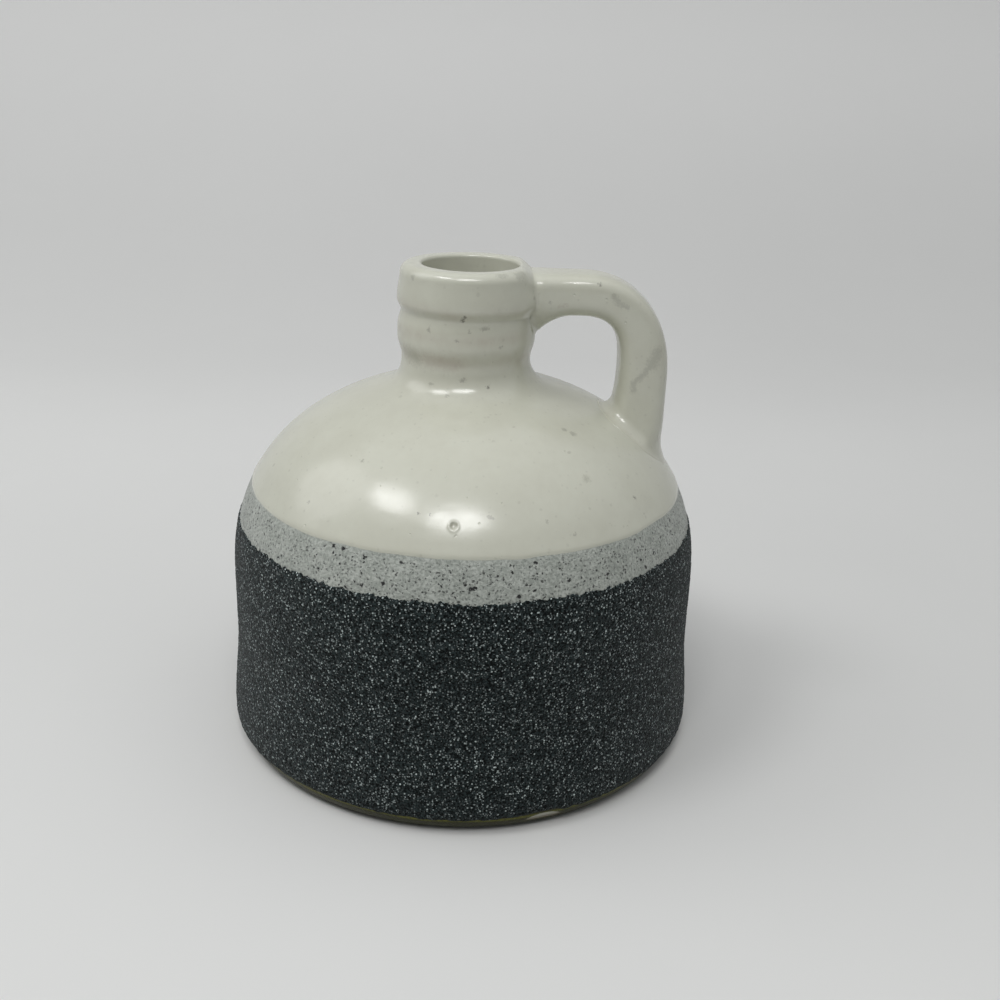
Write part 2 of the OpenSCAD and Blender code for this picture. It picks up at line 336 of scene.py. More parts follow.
@dataclass(frozen=True)
class JugSection:
    """Sizes of the turned jug and the lines that they give."""

    belly_d: float = 140.4
    foot_d: float = 144.0
    rest_d: float = 132.0
    foot_swell_h: float = 7.0
    flare_h: float = 34.0
    spring_h: float = 50.0
    dome_rise: float = 60.5
    shoulder_full: float = 2.5
    wall_t: float = 5.0
    floor_t: float = 7.0
    floor_fillet: float = 12.0
    foot_ring_w: float = 9.0
    foot_recess: float = 1.6
    mouth_d: float = 28.0
    collar_foot_d: float = 54.0
    neck_sweep_h: float = 9.9
    waist_d: float = 36.4
    waist_h: float = 0.4
    lower_ring_d: float = 38.8
    lower_swell_h: float = 6.2
    lower_crest_h: float = 3.3
    groove_d: float = 38.0
    groove_side_h: float = 3.7
    upper_ring_d: float = 40.8
    upper_crest_h: float = 0.5
    lip_d: float = 39.4
    lip_taper_h: float = 6.4
    lip_round_h: float = 2.4
    lip_round_part: float = 0.44
    lip_edge_part: float = 0.04
    cream_t: float = 0.6
    liner_t: float = 0.5
    grit_t: float = 0.9
    grit_top_h: float = 68.6
    band_h: float = 10.6
    bore_run: float = 1.0
    bore_gap: float = 0.2
    edge_ease: float = 3.5
    neck_lean: float = -0.85
    lean_below: float = 1.0
    lean_above: float = 2.0
    press_from: float = 14.0
    press_to: float = 18.6
    press_h: float = 1.9
    slope_step: float = 0.1
    search_step: float = 0.2
    search_chunk: int = 1500
    arc_count: int = 40
    corner_count: int = 50
    sweep_count: int = 60
    wall_count: int = 500
    dome_count: int = 300
    bore_count: int = 120
    vault_count: int = 160

    @cached_property
    def belly_r(self) -> float:
        """Radius of the clay wall under its coat."""
        return self.belly_d / 2 - self.grit_t

    @cached_property
    def foot_r(self) -> float:
        """Radius of the clay at the swell of the foot."""
        return self.foot_d / 2 - self.grit_t

    @cached_property
    def crown_rise(self) -> float:
        """Rise of the clay shoulder under its glaze."""
        return self.dome_rise - self.cream_t

    @cached_property
    def bore_r(self) -> float:
        """Radius of the mouth in the clay."""
        return self.mouth_d / 2 + self.liner_t

    @cached_property
    def cavity_r(self) -> float:
        """Radius of the clay inside the wall."""
        return self.belly_r - self.wall_t

    @cached_property
    def cavity_rise(self) -> float:
        """Rise of the clay inside the shoulder."""
        return self.crown_rise - self.wall_t

    @cached_property
    def seat_z(self) -> float:
        """Height of the neck's seat on the shoulder."""
        return float(self.vault_z(self.collar_foot_d / 2, self.belly_r, self.crown_rise))

    @cached_property
    def waist_z(self) -> float:
        """Height at which the neck's sweep ends."""
        return self.seat_z + self.neck_sweep_h

    @cached_property
    def lower_crest_z(self) -> float:
        """Height of the lower ring's crest."""
        return self.waist_z + self.waist_h + self.lower_swell_h

    @cached_property
    def groove_z(self) -> float:
        """Height of the groove between the two rings."""
        return self.lower_crest_z + self.lower_crest_h + self.groove_side_h

    @cached_property
    def upper_crest_z(self) -> float:
        """Height at which the upper ring's crest begins."""
        return self.groove_z + self.groove_side_h

    @cached_property
    def step_z(self) -> float:
        """Height at which the upper ring's crest ends."""
        return self.upper_crest_z + self.upper_crest_h

    @cached_property
    def lip_z(self) -> float:
        """Height at which the rim's rounded outer edge begins."""
        return self.step_z + self.lip_taper_h

    @cached_property
    def crest_z(self) -> float:
        """Height of the rim's level top."""
        return self.lip_z + self.lip_round_h

    @cached_property
    def rim_t(self) -> float:
        """Thickness of the rim between its outside and the bore."""
        return self.lip_d / 2 - self.bore_r

    @cached_property
    def bore_top_z(self) -> float:
        """Height at which the straight bore begins under the rim's inner edge."""
        return self.crest_z - self.lip_edge_part * self.rim_t

    @cached_property
    def band_top_h(self) -> float:
        """Height of the cream glaze's dipped edge."""
        return self.grit_top_h + self.band_h

    def vault_z(self, r: np.ndarray | float, base: float, rise: float) -> np.ndarray:
        """Height of a vault of the given base radius and rise at a distance from the axis."""
        return self.spring_h + rise * np.maximum(0, 1 - (r / base) ** 2) ** (1 / self.shoulder_full)

    def clay_r(self, z: np.ndarray) -> np.ndarray:
        """Radius of the clay wall and shoulder.

        Args:
            z: Heights above the foot's rounded corner.

        Returns:
            Radius at each height.
        """
        up = np.clip((z - self.spring_h) / self.crown_rise, 0, 1)
        dome = self.belly_r * np.sqrt(1 - up**self.shoulder_full)
        part = (z - self.foot_swell_h) / (self.flare_h - self.foot_swell_h)
        return np.where(z > self.spring_h, dome, lerp(self.foot_r, self.belly_r, ease(part)))

    def eased_ring(self, first: Place, last: Place) -> np.ndarray:
        """Points that ease the neck from one radius and height to the next."""
        t = np.linspace(0, 1, self.arc_count)
        return pairs(lerp(first[0], last[0], ease(t)), lerp(first[1], last[1], t))

    @cached_property
    def outside(self) -> TurnedLine:
        """Clay outside.

        Returns:
            Line from the rest ring over the lip and down the bore.
        """
        a = np.linspace(QUARTER, 0, self.corner_count)
        corner_r = lerp(self.rest_d / 2, self.foot_r, np.cos(a))
        corner = pairs(corner_r, self.foot_swell_h * (1 - np.sin(a)))
        low = np.linspace(self.foot_swell_h, self.band_top_h, self.wall_count)
        rise = np.sin(np.linspace(0, QUARTER, self.dome_count))
        z = np.concatenate([low, lerp(self.band_top_h, self.seat_z, rise)])
        wall = pairs(self.clay_r(z), z)
        return TurnedLine(np.concatenate([corner, wall, self.neck_points(), self.bore_points()]))

    def neck_points(self) -> np.ndarray:
        """Sweep, rings and rim of the neck.

        Returns:
            Points from the neck's seat up to the top of the bore.
        """
        foot_r, waist_r, step = self.collar_foot_d / 2, self.waist_d / 2, self.slope_step
        slope = (self.vault_z(foot_r - step, self.belly_r, self.crown_rise) - self.seat_z) / step
        bend = (waist_r, self.seat_z + (foot_r - waist_r) * slope)
        sweep = bent((foot_r, self.seat_z), bend, (waist_r, self.waist_z), self.sweep_count)
        lower, groove, upper = self.lower_ring_d / 2, self.groove_d / 2, self.upper_ring_d / 2
        rings = [
            self.eased_ring((waist_r, self.waist_z + self.waist_h), (lower, self.lower_crest_z)),
            self.eased_ring((lower, self.lower_crest_z + self.lower_crest_h), (groove, self.groove_z)),
            self.eased_ring((groove, self.groove_z), (upper, self.upper_crest_z)),
            self.eased_ring((upper, self.step_z), (self.lip_d / 2, self.lip_z)),
        ]
        a = np.linspace(0, QUARTER, self.arc_count)
        round_w, edge_w = self.lip_round_part * self.rim_t, self.lip_edge_part * self.rim_t
        outer_r = self.lip_d / 2 - round_w * (1 - np.cos(a))
        outer = pairs(outer_r, self.lip_z + self.lip_round_h * np.sin(a))
        inner_r = self.bore_r + edge_w * (1 - np.sin(a))
        inner = pairs(inner_r, self.crest_z - edge_w * (1 - np.cos(a)))
        return np.concatenate([sweep, *rings, outer, inner])

    def bore_points(self) -> np.ndarray:
        """Straight bore, from under the rim to below the neck's seat."""
        z = np.linspace(self.bore_top_z - self.bore_gap, self.seat_z - self.bore_run, self.bore_count)
        return pairs(self.bore_r, z)

    @cached_property
    def cavity(self) -> TurnedLine:
        """Clay inside.

        Returns:
            Line from the top of the bore to the middle of the floor.
        """
        edge_r = self.bore_r + self.edge_ease
        bend_z, foot_z = (self.vault_z(r, self.cavity_r, self.cavity_rise) for r in (self.bore_r, edge_r))
        top = (self.bore_r, self.seat_z - self.bore_run)
        edge = bent(top, (self.bore_r, bend_z), (edge_r, foot_z), self.arc_count)
        a = np.linspace(np.arccos(edge_r / self.cavity_r), 0, self.vault_count)
        vault_z = self.spring_h + self.cavity_rise * np.sin(a) ** (2 / self.shoulder_full)
        vault = pairs(self.cavity_r * np.cos(a), vault_z)
        b = np.linspace(0, QUARTER, self.arc_count)
        fillet_r = self.cavity_r - self.floor_fillet * (1 - np.cos(b))
        fillet = pairs(fillet_r, self.floor_t + self.floor_fillet * (1 - np.sin(b)))
        floor = np.array([[0.0, self.floor_t]])
        return TurnedLine(np.concatenate([self.bore_points(), edge, vault, fillet, floor]))

    @cached_property
    def crest_along(self) -> float:
        """Distance along the outside to the middle of the rim's level top."""
        first = float(self.outside.lengths[int(np.argmax(self.outside.points[:, 1]))])
        return first + self.rim_t * (1 - self.lip_round_part - self.lip_edge_part) / 2

    def lean(self, z: np.ndarray) -> np.ndarray:
        """Sideways lean of the hand-thrown neck.

        Args:
            z: Heights of points.

        Returns:
            Shift at each height.
        """
        into = smooth(self.seat_z - self.lean_below, self.waist_z, z)
        out_of = smooth(self.lower_crest_z + self.lean_above, self.upper_crest_z, z)
        return self.neck_lean * into * (1 - out_of)

    def pressed(self, x: np.ndarray, z: np.ndarray) -> np.ndarray:
        """Drop of the rim where the handle was pressed on to it."""
        sideways = smooth(self.press_from, self.press_to, x)
        return self.press_h * sideways * smooth(self.step_z, self.lip_z, z)

    def around(self, section: np.ndarray, azimuth: np.ndarray | float) -> np.ndarray:
        """Turns points of the section round the axis, with the neck's lean and the pressed rim.

        Args:
            section: Radius and height of each point.
            azimuth: Angle of each point.

        Returns:
            Points in space.
        """
        r, z = section[..., 0], section[..., 1] + 0 * azimuth
        x = r * np.cos(azimuth) + self.lean(z)
        return np.stack([x, r * np.sin(azimuth), z - self.pressed(x, z)], -1)

    def spun(self, line: np.ndarray, azimuth: np.ndarray) -> np.ndarray:
        """Turns a whole line round the axis, with a row for each of its points."""
        return self.around(np.repeat(line[:, None], azimuth.size, 1), azimuth.reshape(1, -1))

    def coat(
        self, name: str, along: np.ndarray, lifts: tuple[np.ndarray, float], azimuth: np.ndarray
    ) -> Grid:
        """Closed shell of a coat, whose skin and back stand off the clay by the two lifts."""
        return Grid.shell(name, *(self.around(self.outside.lifted(along, lift), azimuth) for lift in lifts))

    def coat_point(self, turn: float, height: float, lift: float) -> Point:
        """Point on a coat.

        Args:
            turn: Angle round the axis in degrees; the handle stands at 0 and the front at -90.
            height: Height of the clay under the point.
            lift: Thickness of the coat.

        Returns:
            The point in space.
        """
        along = self.outside.where_height(height)
        at = self.around(self.outside.lifted(along, lift), np.radians(turn))
        return tuple(float(v) for v in at)

    def nearest(self, points: np.ndarray, lift: float) -> tuple[np.ndarray, np.ndarray]:
        """Signed distance of points from the glazed pot, and the pot's direction there.

        Args:
            points: Points in space.
            lift: Thickness of the coat on the clay.

        Returns:
            Distances, negative inside the pot, and unit directions out of it.
        """
        along = np.arange(0, self.crest_along, self.search_step)
        line, out = self.outside.lifted(along, lift), self.outside.normals(along)
        flat = points.reshape(-1, 3)
        z = flat[:, 2] + self.pressed(flat[:, 0], flat[:, 2])
        x, y = flat[:, 0] - self.lean(z), flat[:, 1]
        place = pairs(np.hypot(x, y), z)
        distance, direction = np.empty(len(flat)), np.empty((len(flat), 2))
        for chunk in np.array_split(np.arange(len(flat)), max(1, len(flat) // self.search_chunk)):
            apart = place[chunk, None] - line[None]
            best = np.argmin((apart**2).sum(-1), 1)
            off = apart[np.arange(len(chunk)), best]
            distance[chunk] = (off * out[best]).sum(-1)
            direction[chunk] = out[best]
        turned = np.stack([direction[:, 0] * x, direction[:, 0] * y, direction[:, 1] * place[:, 0]], -1)
        turned /= np.maximum(place[:, :1], TINY)
        return distance.reshape(points.shape[:-1]), turned.reshape(points.shape)


class NodeBench:
    """Lays out and joins the nodes of one tree."""

    def __init__(self, tree: bpy.types.NodeTree) -> None:
        """Works on the node tree of a material, a group or the world."""
        self.tree = tree

    def node(self, kind: str, **settings: object) -> bpy.types.Node:
        """New node.

        Args:
            kind: Blender's name for the kind of node.
            settings: The node's own settings.

        Returns:
            The node.
        """
        made = self.tree.nodes.new(kind)
        for key, value in settings.items():
            setattr(made, key, value)
        return made

    def feed(self, socket: Socket, value: object) -> None:
        """Joins another socket on, or sets the socket's own value.

        Args:
            socket: Input to feed.
            value: Another socket, a number, a place or a colour.
        """
        if isinstance(value, bpy.types.NodeSocket):
            self.tree.links.new(value, socket)
        elif isinstance(value, tuple) and socket.type == "RGBA":
            socket.default_value = (*value[:3], 1.0)
        else:
            socket.default_value = value

    def fed(self, kind: str, terms: tuple[object, ...], **settings: object) -> bpy.types.NodeOutputs:
        """New node whose first inputs are fed in order.

        Args:
            kind: Blender's name for the kind of node.
            terms: What its inputs are fed with.
            settings: The node's own settings.

        Returns:
            The node's outputs.
        """
        made = self.node(kind, **settings)
        for socket, term in zip(made.inputs, terms):
            self.feed(socket, term)
        return made.outputs

    def math(self, operation: str, *terms: object, clamp: bool = False) -> Socket:
        """Result of a sum on sockets or numbers."""
        return self.fed("ShaderNodeMath", terms, operation=operation, use_clamp=clamp)[0]

    def times(self, first: object, second: object) -> Socket:
        """Product of two terms."""
        return self.math("MULTIPLY", first, second)

    def scaled(self, value: object, factor: object, added: object) -> Socket:
        """Value times a factor, with something added."""
        return self.math("MULTIPLY_ADD", value, factor, added)

    def vector(self, operation: str, *terms: object) -> Socket:
        """Result of a sum on vectors, given as sockets or as places."""
        made = self.fed("ShaderNodeVectorMath", terms, operation=operation)
        return made["Value" if operation in ("DISTANCE", "DOT_PRODUCT") else "Vector"]

    def most(self, masks: list[Socket]) -> Socket:
        """Largest of several masks."""
        return reduce(lambda a, b: self.math("MAXIMUM", a, b), masks)

    def span(self, *terms: object) -> Socket:
        """Soft step of a value between two marks, from 0 to 1 or between two more terms."""
        return self.fed("ShaderNodeMapRange", terms, interpolation_type="SMOOTHSTEP")[0]

    def disc(self, reach: object, radius: object, softness: object) -> Socket:
        """Mask that falls softly from 1 to 0 where the reach passes a radius."""
        inner, outer = self.math("SUBTRACT", radius, softness), self.math("ADD", radius, softness)
        return self.span(reach, inner, outer, 1.0, 0.0)

    def mix(self, factor: object, under: object, over: object) -> Socket:
        """Colour that goes from one to another.

        Args:
            factor: How much of the second colour shows.
            under: First colour.
            over: Second colour.

        Returns:
            The mixed colour.
        """
        made = self.node("ShaderNodeMix", data_type="RGBA")
        for place, term in ((0, factor), (MIX_UNDER, under), (MIX_OVER, over)):
            self.feed(made.inputs[place], term)
        return made.outputs[MIX_RESULT]

    def painted(self, label: str) -> Socket:
        """Value painted on the mesh under a label."""
        return self.node("ShaderNodeAttribute", attribute_name=label).outputs["Fac"]

    def noise(self, place: object, scale: object, detail: float, roughness: float) -> bpy.types.NodeOutputs:
        """Soft noise.

        Args:
            place: Place at which it is read.
            scale: Cells in one unit of the place.
            detail: Layers of finer noise.
            roughness: Strength of the finer layers.

        Returns:
            The noise's value and its colour.
        """
        made = self.node("ShaderNodeTexNoise")
        values = {"Vector": place, "Scale": scale, "Detail": detail, "Roughness": roughness}
        for label, value in values.items():
            self.feed(made.inputs[label], value)
        return made.outputs

    def swayed(self, place: object, where: object, amount: object) -> Socket:
        """Place moved about by a noise that is read at another place."""
        swing = self.vector("SUBTRACT", self.noise(where, SWAY_SCALE, 1.0, 0.5)["Color"], (0.5, 0.5, 0.5))
        return self.vector("ADD", place, self.vector("MULTIPLY", swing, amount))

    def millimetres(self) -> Socket:
        """Place on the piece, in millimetres."""
        return self.vector("DIVIDE", self.node("ShaderNodeTexCoord").outputs["Object"], (MM, MM, MM))


class SurfaceGroup:
    """An effect that several finishes share, built once as a node group."""

    name = ""
    places: tuple[str, ...] = ()
    numbers: tuple[str, ...] = ()
    outputs: tuple[str, ...] = ()

    def tree(self) -> bpy.types.NodeTree:
        """The group's node tree, made at its first use.

        Returns:
            The node tree.
        """
        found = bpy.data.node_groups.get(self.name)
        if found:
            return found
        made = bpy.data.node_groups.new(self.name, "ShaderNodeTree")
        sides = (
            (self.places, "INPUT", "Vector"),
            (self.numbers, "INPUT", "Float"),
            (self.outputs, "OUTPUT", "Float"),
        )
        for labels, side, kind in sides:
            for label in labels:
                made.interface.new_socket(name=label, in_out=side, socket_type="NodeSocket" + kind)
        bench = NodeBench(made)
        self.lay(bench, bench.node("NodeGroupInput").outputs, bench.node("NodeGroupOutput").inputs)
        return made

    def lay(self, bench: NodeBench, given: bpy.types.NodeOutputs, result: bpy.types.NodeInputs) -> None:
        """Lays the group's nodes between its inputs and its outputs."""
        raise NotImplementedError

    def place(self, bench: NodeBench, **values: object) -> bpy.types.NodeOutputs:
        """Puts the group into a material.

        Args:
            bench: Bench of the material.
            values: The group's own values there.

        Returns:
            The group's outputs.
        """
        made = bench.node("ShaderNodeGroup", node_tree=self.tree())
        for label, value in values.items():
            bench.feed(made.inputs[label.capitalize()], value)
        return made.outputs


class SpeckGroup(SurfaceGroup):
    """Specks or grains of one size, scattered through the coat."""

    name = "speck_layer"
    numbers = ("Cell", "Radius", "Softness", "Share", "Warp", "Shift")
    outputs = ("Mask", "Tone")
    size_range: Gain = (0.8, 0.6)

    def lay(self, bench: NodeBench, given: bpy.types.NodeOutputs, result: bpy.types.NodeInputs) -> None:
        """Lays specks at the middles of random cells, drawn out of round by the warp.

        Args:
            bench: Bench of the group.
            given: The group's inputs.
            result: The group's outputs.
        """
        moved = bench.vector("ADD", bench.millimetres(), given["Shift"])
        warped = bench.swayed(moved, bench.vector("DIVIDE", moved, given["Cell"]), given["Warp"])
        cells = bench.node("ShaderNodeTexVoronoi", feature="F1")
        bench.feed(cells.inputs["Vector"], bench.vector("DIVIDE", warped, given["Cell"]))
        bench.feed(cells.inputs["Scale"], 1.0)
        kept, size, tone = bench.fed("ShaderNodeSeparateColor", (cells.outputs["Color"],))
        reach = bench.times(cells.outputs["Distance"], given["Cell"])
        radius = bench.times(given["Radius"], bench.scaled(size, *self.size_range))
        disc = bench.disc(reach, radius, given["Softness"])
        bench.feed(result["Mask"], bench.times(disc, bench.math("LESS_THAN", kept, given["Share"])))
        bench.feed(result["Tone"], tone)


class MottleGroup(SurfaceGroup):
    """Soft uneven patches of a coat."""

    name = "mottle"
    numbers = ("Size", "Low", "High", "Shift")
    outputs = ("Value",)
    detail = 3.0
    roughness = 0.55

    def lay(self, bench: NodeBench, given: bpy.types.NodeOutputs, result: bpy.types.NodeInputs) -> None:
        """Lays a noise of one size, spread between its low and high marks.

        Args:
            bench: Bench of the group.
            given: The group's inputs.
            result: The group's outputs.
        """
        moved = bench.vector("ADD", bench.millimetres(), given["Shift"])
        value = bench.noise(moved, bench.math("DIVIDE", 1.0, given["Size"]), self.detail, self.roughness)[0]
        bench.feed(result["Value"], bench.span(value, given["Low"], given["High"]))


class StreakGroup(SurfaceGroup):
    """A mark along a straight stretch of the coat, or a dot where its two ends meet."""

    name = "streak"
    places = ("Start", "End")
    numbers = ("Radius", "Softness")
    outputs = ("Mask",)
    sway: Point = (1.5, 1.5, 1.5)
    grain: tuple[float, float, float] = (1.3, 2.0, 0.6)
    width_range: Gain = (1.8, 0.1)

    def lay(self, bench: NodeBench, given: bpy.types.NodeOutputs, result: bpy.types.NodeInputs) -> None:
        """Lays a soft stroke between the two ends, with a slightly uneven outline.

        Args:
            bench: Bench of the group.
            given: The group's inputs.
            result: The group's outputs.
        """
        place = bench.millimetres()
        run = bench.vector("SUBTRACT", given["End"], given["Start"])
        off = bench.vector("SUBTRACT", bench.swayed(place, place, self.sway), given["Start"])
        along, whole = bench.vector("DOT_PRODUCT", off, run), bench.vector("DOT_PRODUCT", run, run)
        part = bench.math("DIVIDE", along, whole, clamp=True)
        apart = bench.vector("DISTANCE", off, bench.vector("MULTIPLY", run, part))
        uneven = bench.scaled(bench.noise(place, *self.grain)[0], *self.width_range)
        disc = bench.disc(apart, bench.times(given["Radius"], uneven), given["Softness"])
        bench.feed(result["Mask"], disc)


SPECK_GROUP, MOTTLE_GROUP, STREAK_GROUP = SpeckGroup(), MottleGroup(), StreakGroup()


@dataclass(frozen=True)
class Specks:
    """One layer of specks: their sizes and the share of cells that hold one."""

    cell: float
    radius: float
    softness: float
    share: float
    warp: float
    shift: float

    def place(self, bench: NodeBench) -> bpy.types.NodeOutputs:
        """Mask and tone of the specks in a material."""
        return SPECK_GROUP.place(bench, **vars(self))


@dataclass(frozen=True)
class Patches:
    """One layer of soft patches: their size and the marks that they are spread between."""

    size: float
    low: float
    high: float
    shift: float

    def place(self, bench: NodeBench) -> Socket:
        """Value of the patches in a material."""
        return MOTTLE_GROUP.place(bench, **vars(self))["Value"]


class Stain(Enum):
    """Kinds of marks in a coat, each with its colour and strength."""

    IRON = ((0.13, 0.12, 0.10), 0.75)
    FAINT = ((0.27, 0.26, 0.22), 0.5)
    OLIVE = ((0.36, 0.355, 0.28), 0.5)
    SCUFF = ((0.33, 0.33, 0.28), 0.42)
    BLUSH = ((0.45, 0.40, 0.34), 0.35)


@dataclass(frozen=True)
class Mark:
    """One mark in a coat: a dot at one place, or a streak through several.

    On the pot a place is a turn round the axis in degrees and a height. On the handle it is a turn
    round the strap and a run along it.
    """

    path: tuple[Place, ...]
    radius: float
    softness: float
    stain: Stain = Stain.FAINT

    def mask(self, bench: NodeBench, where: Callable[[float, float], Point]) -> Socket:
        """Mask of the mark.

        Args:
            bench: Bench of the material.
            where: Finds the point on the coat for a place.

        Returns:
            The mask.
        """
        points = [where(*place) for place in self.path]
        ends = zip(points, points[1:] or points)
        sizes = {"radius": self.radius, "softness": self.softness}
        return bench.most([STREAK_GROUP.place(bench, start=a, end=b, **sizes)["Mask"] for a, b in ends])


@dataclass(frozen=True)
class Finish:
    """A fired surface: one material with a Principled shader.

    Its plain values are the same all over the surface and stand on the shader's own sockets.
    """

    name: str
    plain: tuple[tuple[str, float], ...] = ()
    relief_depth: float = 0.1

    def material(self) -> bpy.types.Material:
        """Makes the material and lets the finish lay its nodes.

        Returns:
            The new material.
        """
        made = bpy.data.materials.new(self.name)
        made.use_nodes = True
        shader = made.node_tree.nodes["Principled BSDF"]
        for label, value in self.plain:
            shader.inputs[label].default_value = value
        self.lay(NodeBench(made.node_tree), shader)
        return made

    def lay(self, bench: NodeBench, shader: bpy.types.Node) -> None:
        """Lays the nodes that feed the shader."""
        raise NotImplementedError

    def relief(self, bench: NodeBench, shader: bpy.types.Node, height: Socket) -> None:
        """Raises or sinks the surface by a height.

        Args:
            bench: Bench of the material.
            shader: The material's shader.
            height: Socket with the height, 1 standing for the whole depth.
        """
        made = bench.node("ShaderNodeBump")
        bench.feed(made.inputs["Strength"], 1.0)
        bench.feed(made.inputs["Distance"], self.relief_depth * MM)
        bench.feed(made.inputs["Height"], height)
        bench.feed(shader.inputs["Normal"], made.outputs[0])


@dataclass(frozen=True)
class CreamFinish(Finish):
    """Glossy cream glaze with iron specks, pinholes and thin places."""

    plain: tuple[tuple[str, float], ...] = (("Specular IOR Level", 0.8),)
    relief_depth: float = 0.12
    light: Colour = (0.650, 0.655, 0.560)
    deep: Colour = (0.605, 0.605, 0.512)
    thin: Colour = (0.500, 0.440, 0.362)
    speck: Colour = (0.21, 0.20, 0.16)
    patches: Patches = Patches(size=17.0, low=0.32, high=0.68, shift=3.0)
    small: Patches = Patches(size=2.6, low=0.25, high=0.8, shift=41.0)
    small_part: float = 0.35
    thin_range: Gain = (0.5, 0.45)
    faint: Specks = Specks(cell=1.9, radius=0.3, softness=0.24, share=0.55, warp=0.6, shift=0.0)
    faint_range: Gain = (0.14, 0.03)
    iron: Specks = Specks(cell=5.2, radius=0.45, softness=0.26, share=0.32, warp=1.4, shift=9.0)
    iron_range: Gain = (0.3, 0.05)
    pins: Specks = Specks(cell=2.9, radius=0.2, softness=0.12, share=0.25, warp=0.3, shift=23.0)
    gloss: Gain = (0.08, 0.17)
    skin_h: float = 0.05
    marks: tuple[Mark, ...] = ()
    where: Callable[[float, float], Point] | None = None

    def lay(self, bench: NodeBench, shader: bpy.types.Node) -> None:
        """Lays the colour in layers from the glaze's depth up to its marks.

        Args:
            bench: Bench of the material.
            shader: The material's shader.
        """
        patches, small = self.patches.place(bench), self.small.place(bench)
        cloud = bench.scaled(small, self.small_part, bench.times(patches, 1 - self.small_part))
        colour = bench.mix(cloud, self.light, self.deep)
        thin = bench.times(bench.painted("thin"), bench.scaled(small, *self.thin_range))
        colour = bench.mix(thin, colour, self.thin)
        for layer, tones in ((self.faint, self.faint_range), (self.iron, self.iron_range)):
            specks = layer.place(bench)
            strength = bench.times(specks["Mask"], bench.scaled(specks["Tone"], *tones))
            colour = bench.mix(strength, colour, self.speck)
        pins = self.pins.place(bench)["Mask"]
        for stain in Stain:
            masks = [mark.mask(bench, self.where) for mark in self.marks if mark.stain is stain]
            if masks:
                tint, amount = stain.value
                colour = bench.mix(bench.times(bench.most(masks), amount), colour, tint)
        bench.feed(shader.inputs["Base Color"], colour)
        bench.feed(shader.inputs["Roughness"], bench.scaled(small, *self.gloss))
        self.relief(bench, shader, bench.math("SUBTRACT", bench.times(small, self.skin_h), pins))


@dataclass(frozen=True)
class BandFinish(Finish):
    """Matte pale slip, grey with dark specks and pits, the pits darkened with painted shade."""

    plain: tuple[tuple[str, float], ...] = (
        ("Roughness", 0.72),
        ("Sheen Weight", 0.3),
        ("Sheen Roughness", 0.45),
    )
    relief_depth: float = 0.3
    base: Colour = (0.292, 0.316, 0.284)
    pale: Colour = (0.520, 0.546, 0.503)
    ash: Colour = (0.125, 0.138, 0.128)
    # Painted shade: near-black colour for the inside of the pits
    pit: Colour = (0.012, 0.013, 0.012)
    patches: Patches = Patches(size=5.0, low=0.3, high=0.7, shift=5.0)
    grain: Patches = Patches(size=0.75, low=0.34, high=0.66, shift=12.0)
    grain_part: float = 0.7
    grain_h: float = 0.35
    ash_specks: Specks = Specks(cell=0.66, radius=0.2, softness=0.12, share=0.6, warp=0.5, shift=2.0)
    small_pits: Specks = Specks(cell=0.85, radius=0.24, softness=0.1, share=0.58, warp=0.8, shift=31.0)
    small_range: Gain = (0.6, 0.4)
    small_depth: float = 0.7
    large_pits: Specks = Specks(cell=2.2, radius=0.36, softness=0.14, share=0.65, warp=1.6, shift=57.0)
    marks: tuple[Mark, ...] = ()
    where: Callable[[float, float], Point] | None = None

    def lay(self, bench: NodeBench, shader: bpy.types.Node) -> None:
        """Lays grainy slip, then ash specks, small pits and the larger pits, the pits coloured near-black as
        painted shade inside them.

        Args:
            bench: Bench of the material.
            shader: The material's shader.
        """
        patches, grain = self.patches.place(bench), self.grain.place(bench)
        cloud = bench.scaled(grain, self.grain_part, bench.times(patches, 1 - self.grain_part))
        colour = bench.mix(cloud, self.base, self.pale)
        open_part = bench.math("SUBTRACT", 1.0, bench.painted("clear"))
        ash = self.ash_specks.place(bench)
        cover = bench.times(ash["Tone"], open_part)
        colour = bench.mix(bench.times(ash["Mask"], cover), colour, self.ash)
        small = self.small_pits.place(bench)
        cover = bench.times(bench.scaled(small["Tone"], *self.small_range), open_part)
        holes = bench.times(small["Mask"], cover)
        # Painted shade: the pits are coloured near-black for the shade inside them, small and large alike
        colour = bench.mix(holes, colour, self.pit)
        large = self.large_pits.place(bench)["Mask"]
        marks = [mark.mask(bench, self.where) for mark in self.marks]
        large = bench.most([bench.times(large, open_part), *marks])
        colour = bench.mix(large, colour, self.pit)
        bench.feed(shader.inputs["Base Color"], colour)
        pits = bench.scaled(large, -1.0, bench.times(holes, -self.small_depth))
        self.relief(bench, shader, bench.scaled(grain, self.grain_h, pits))


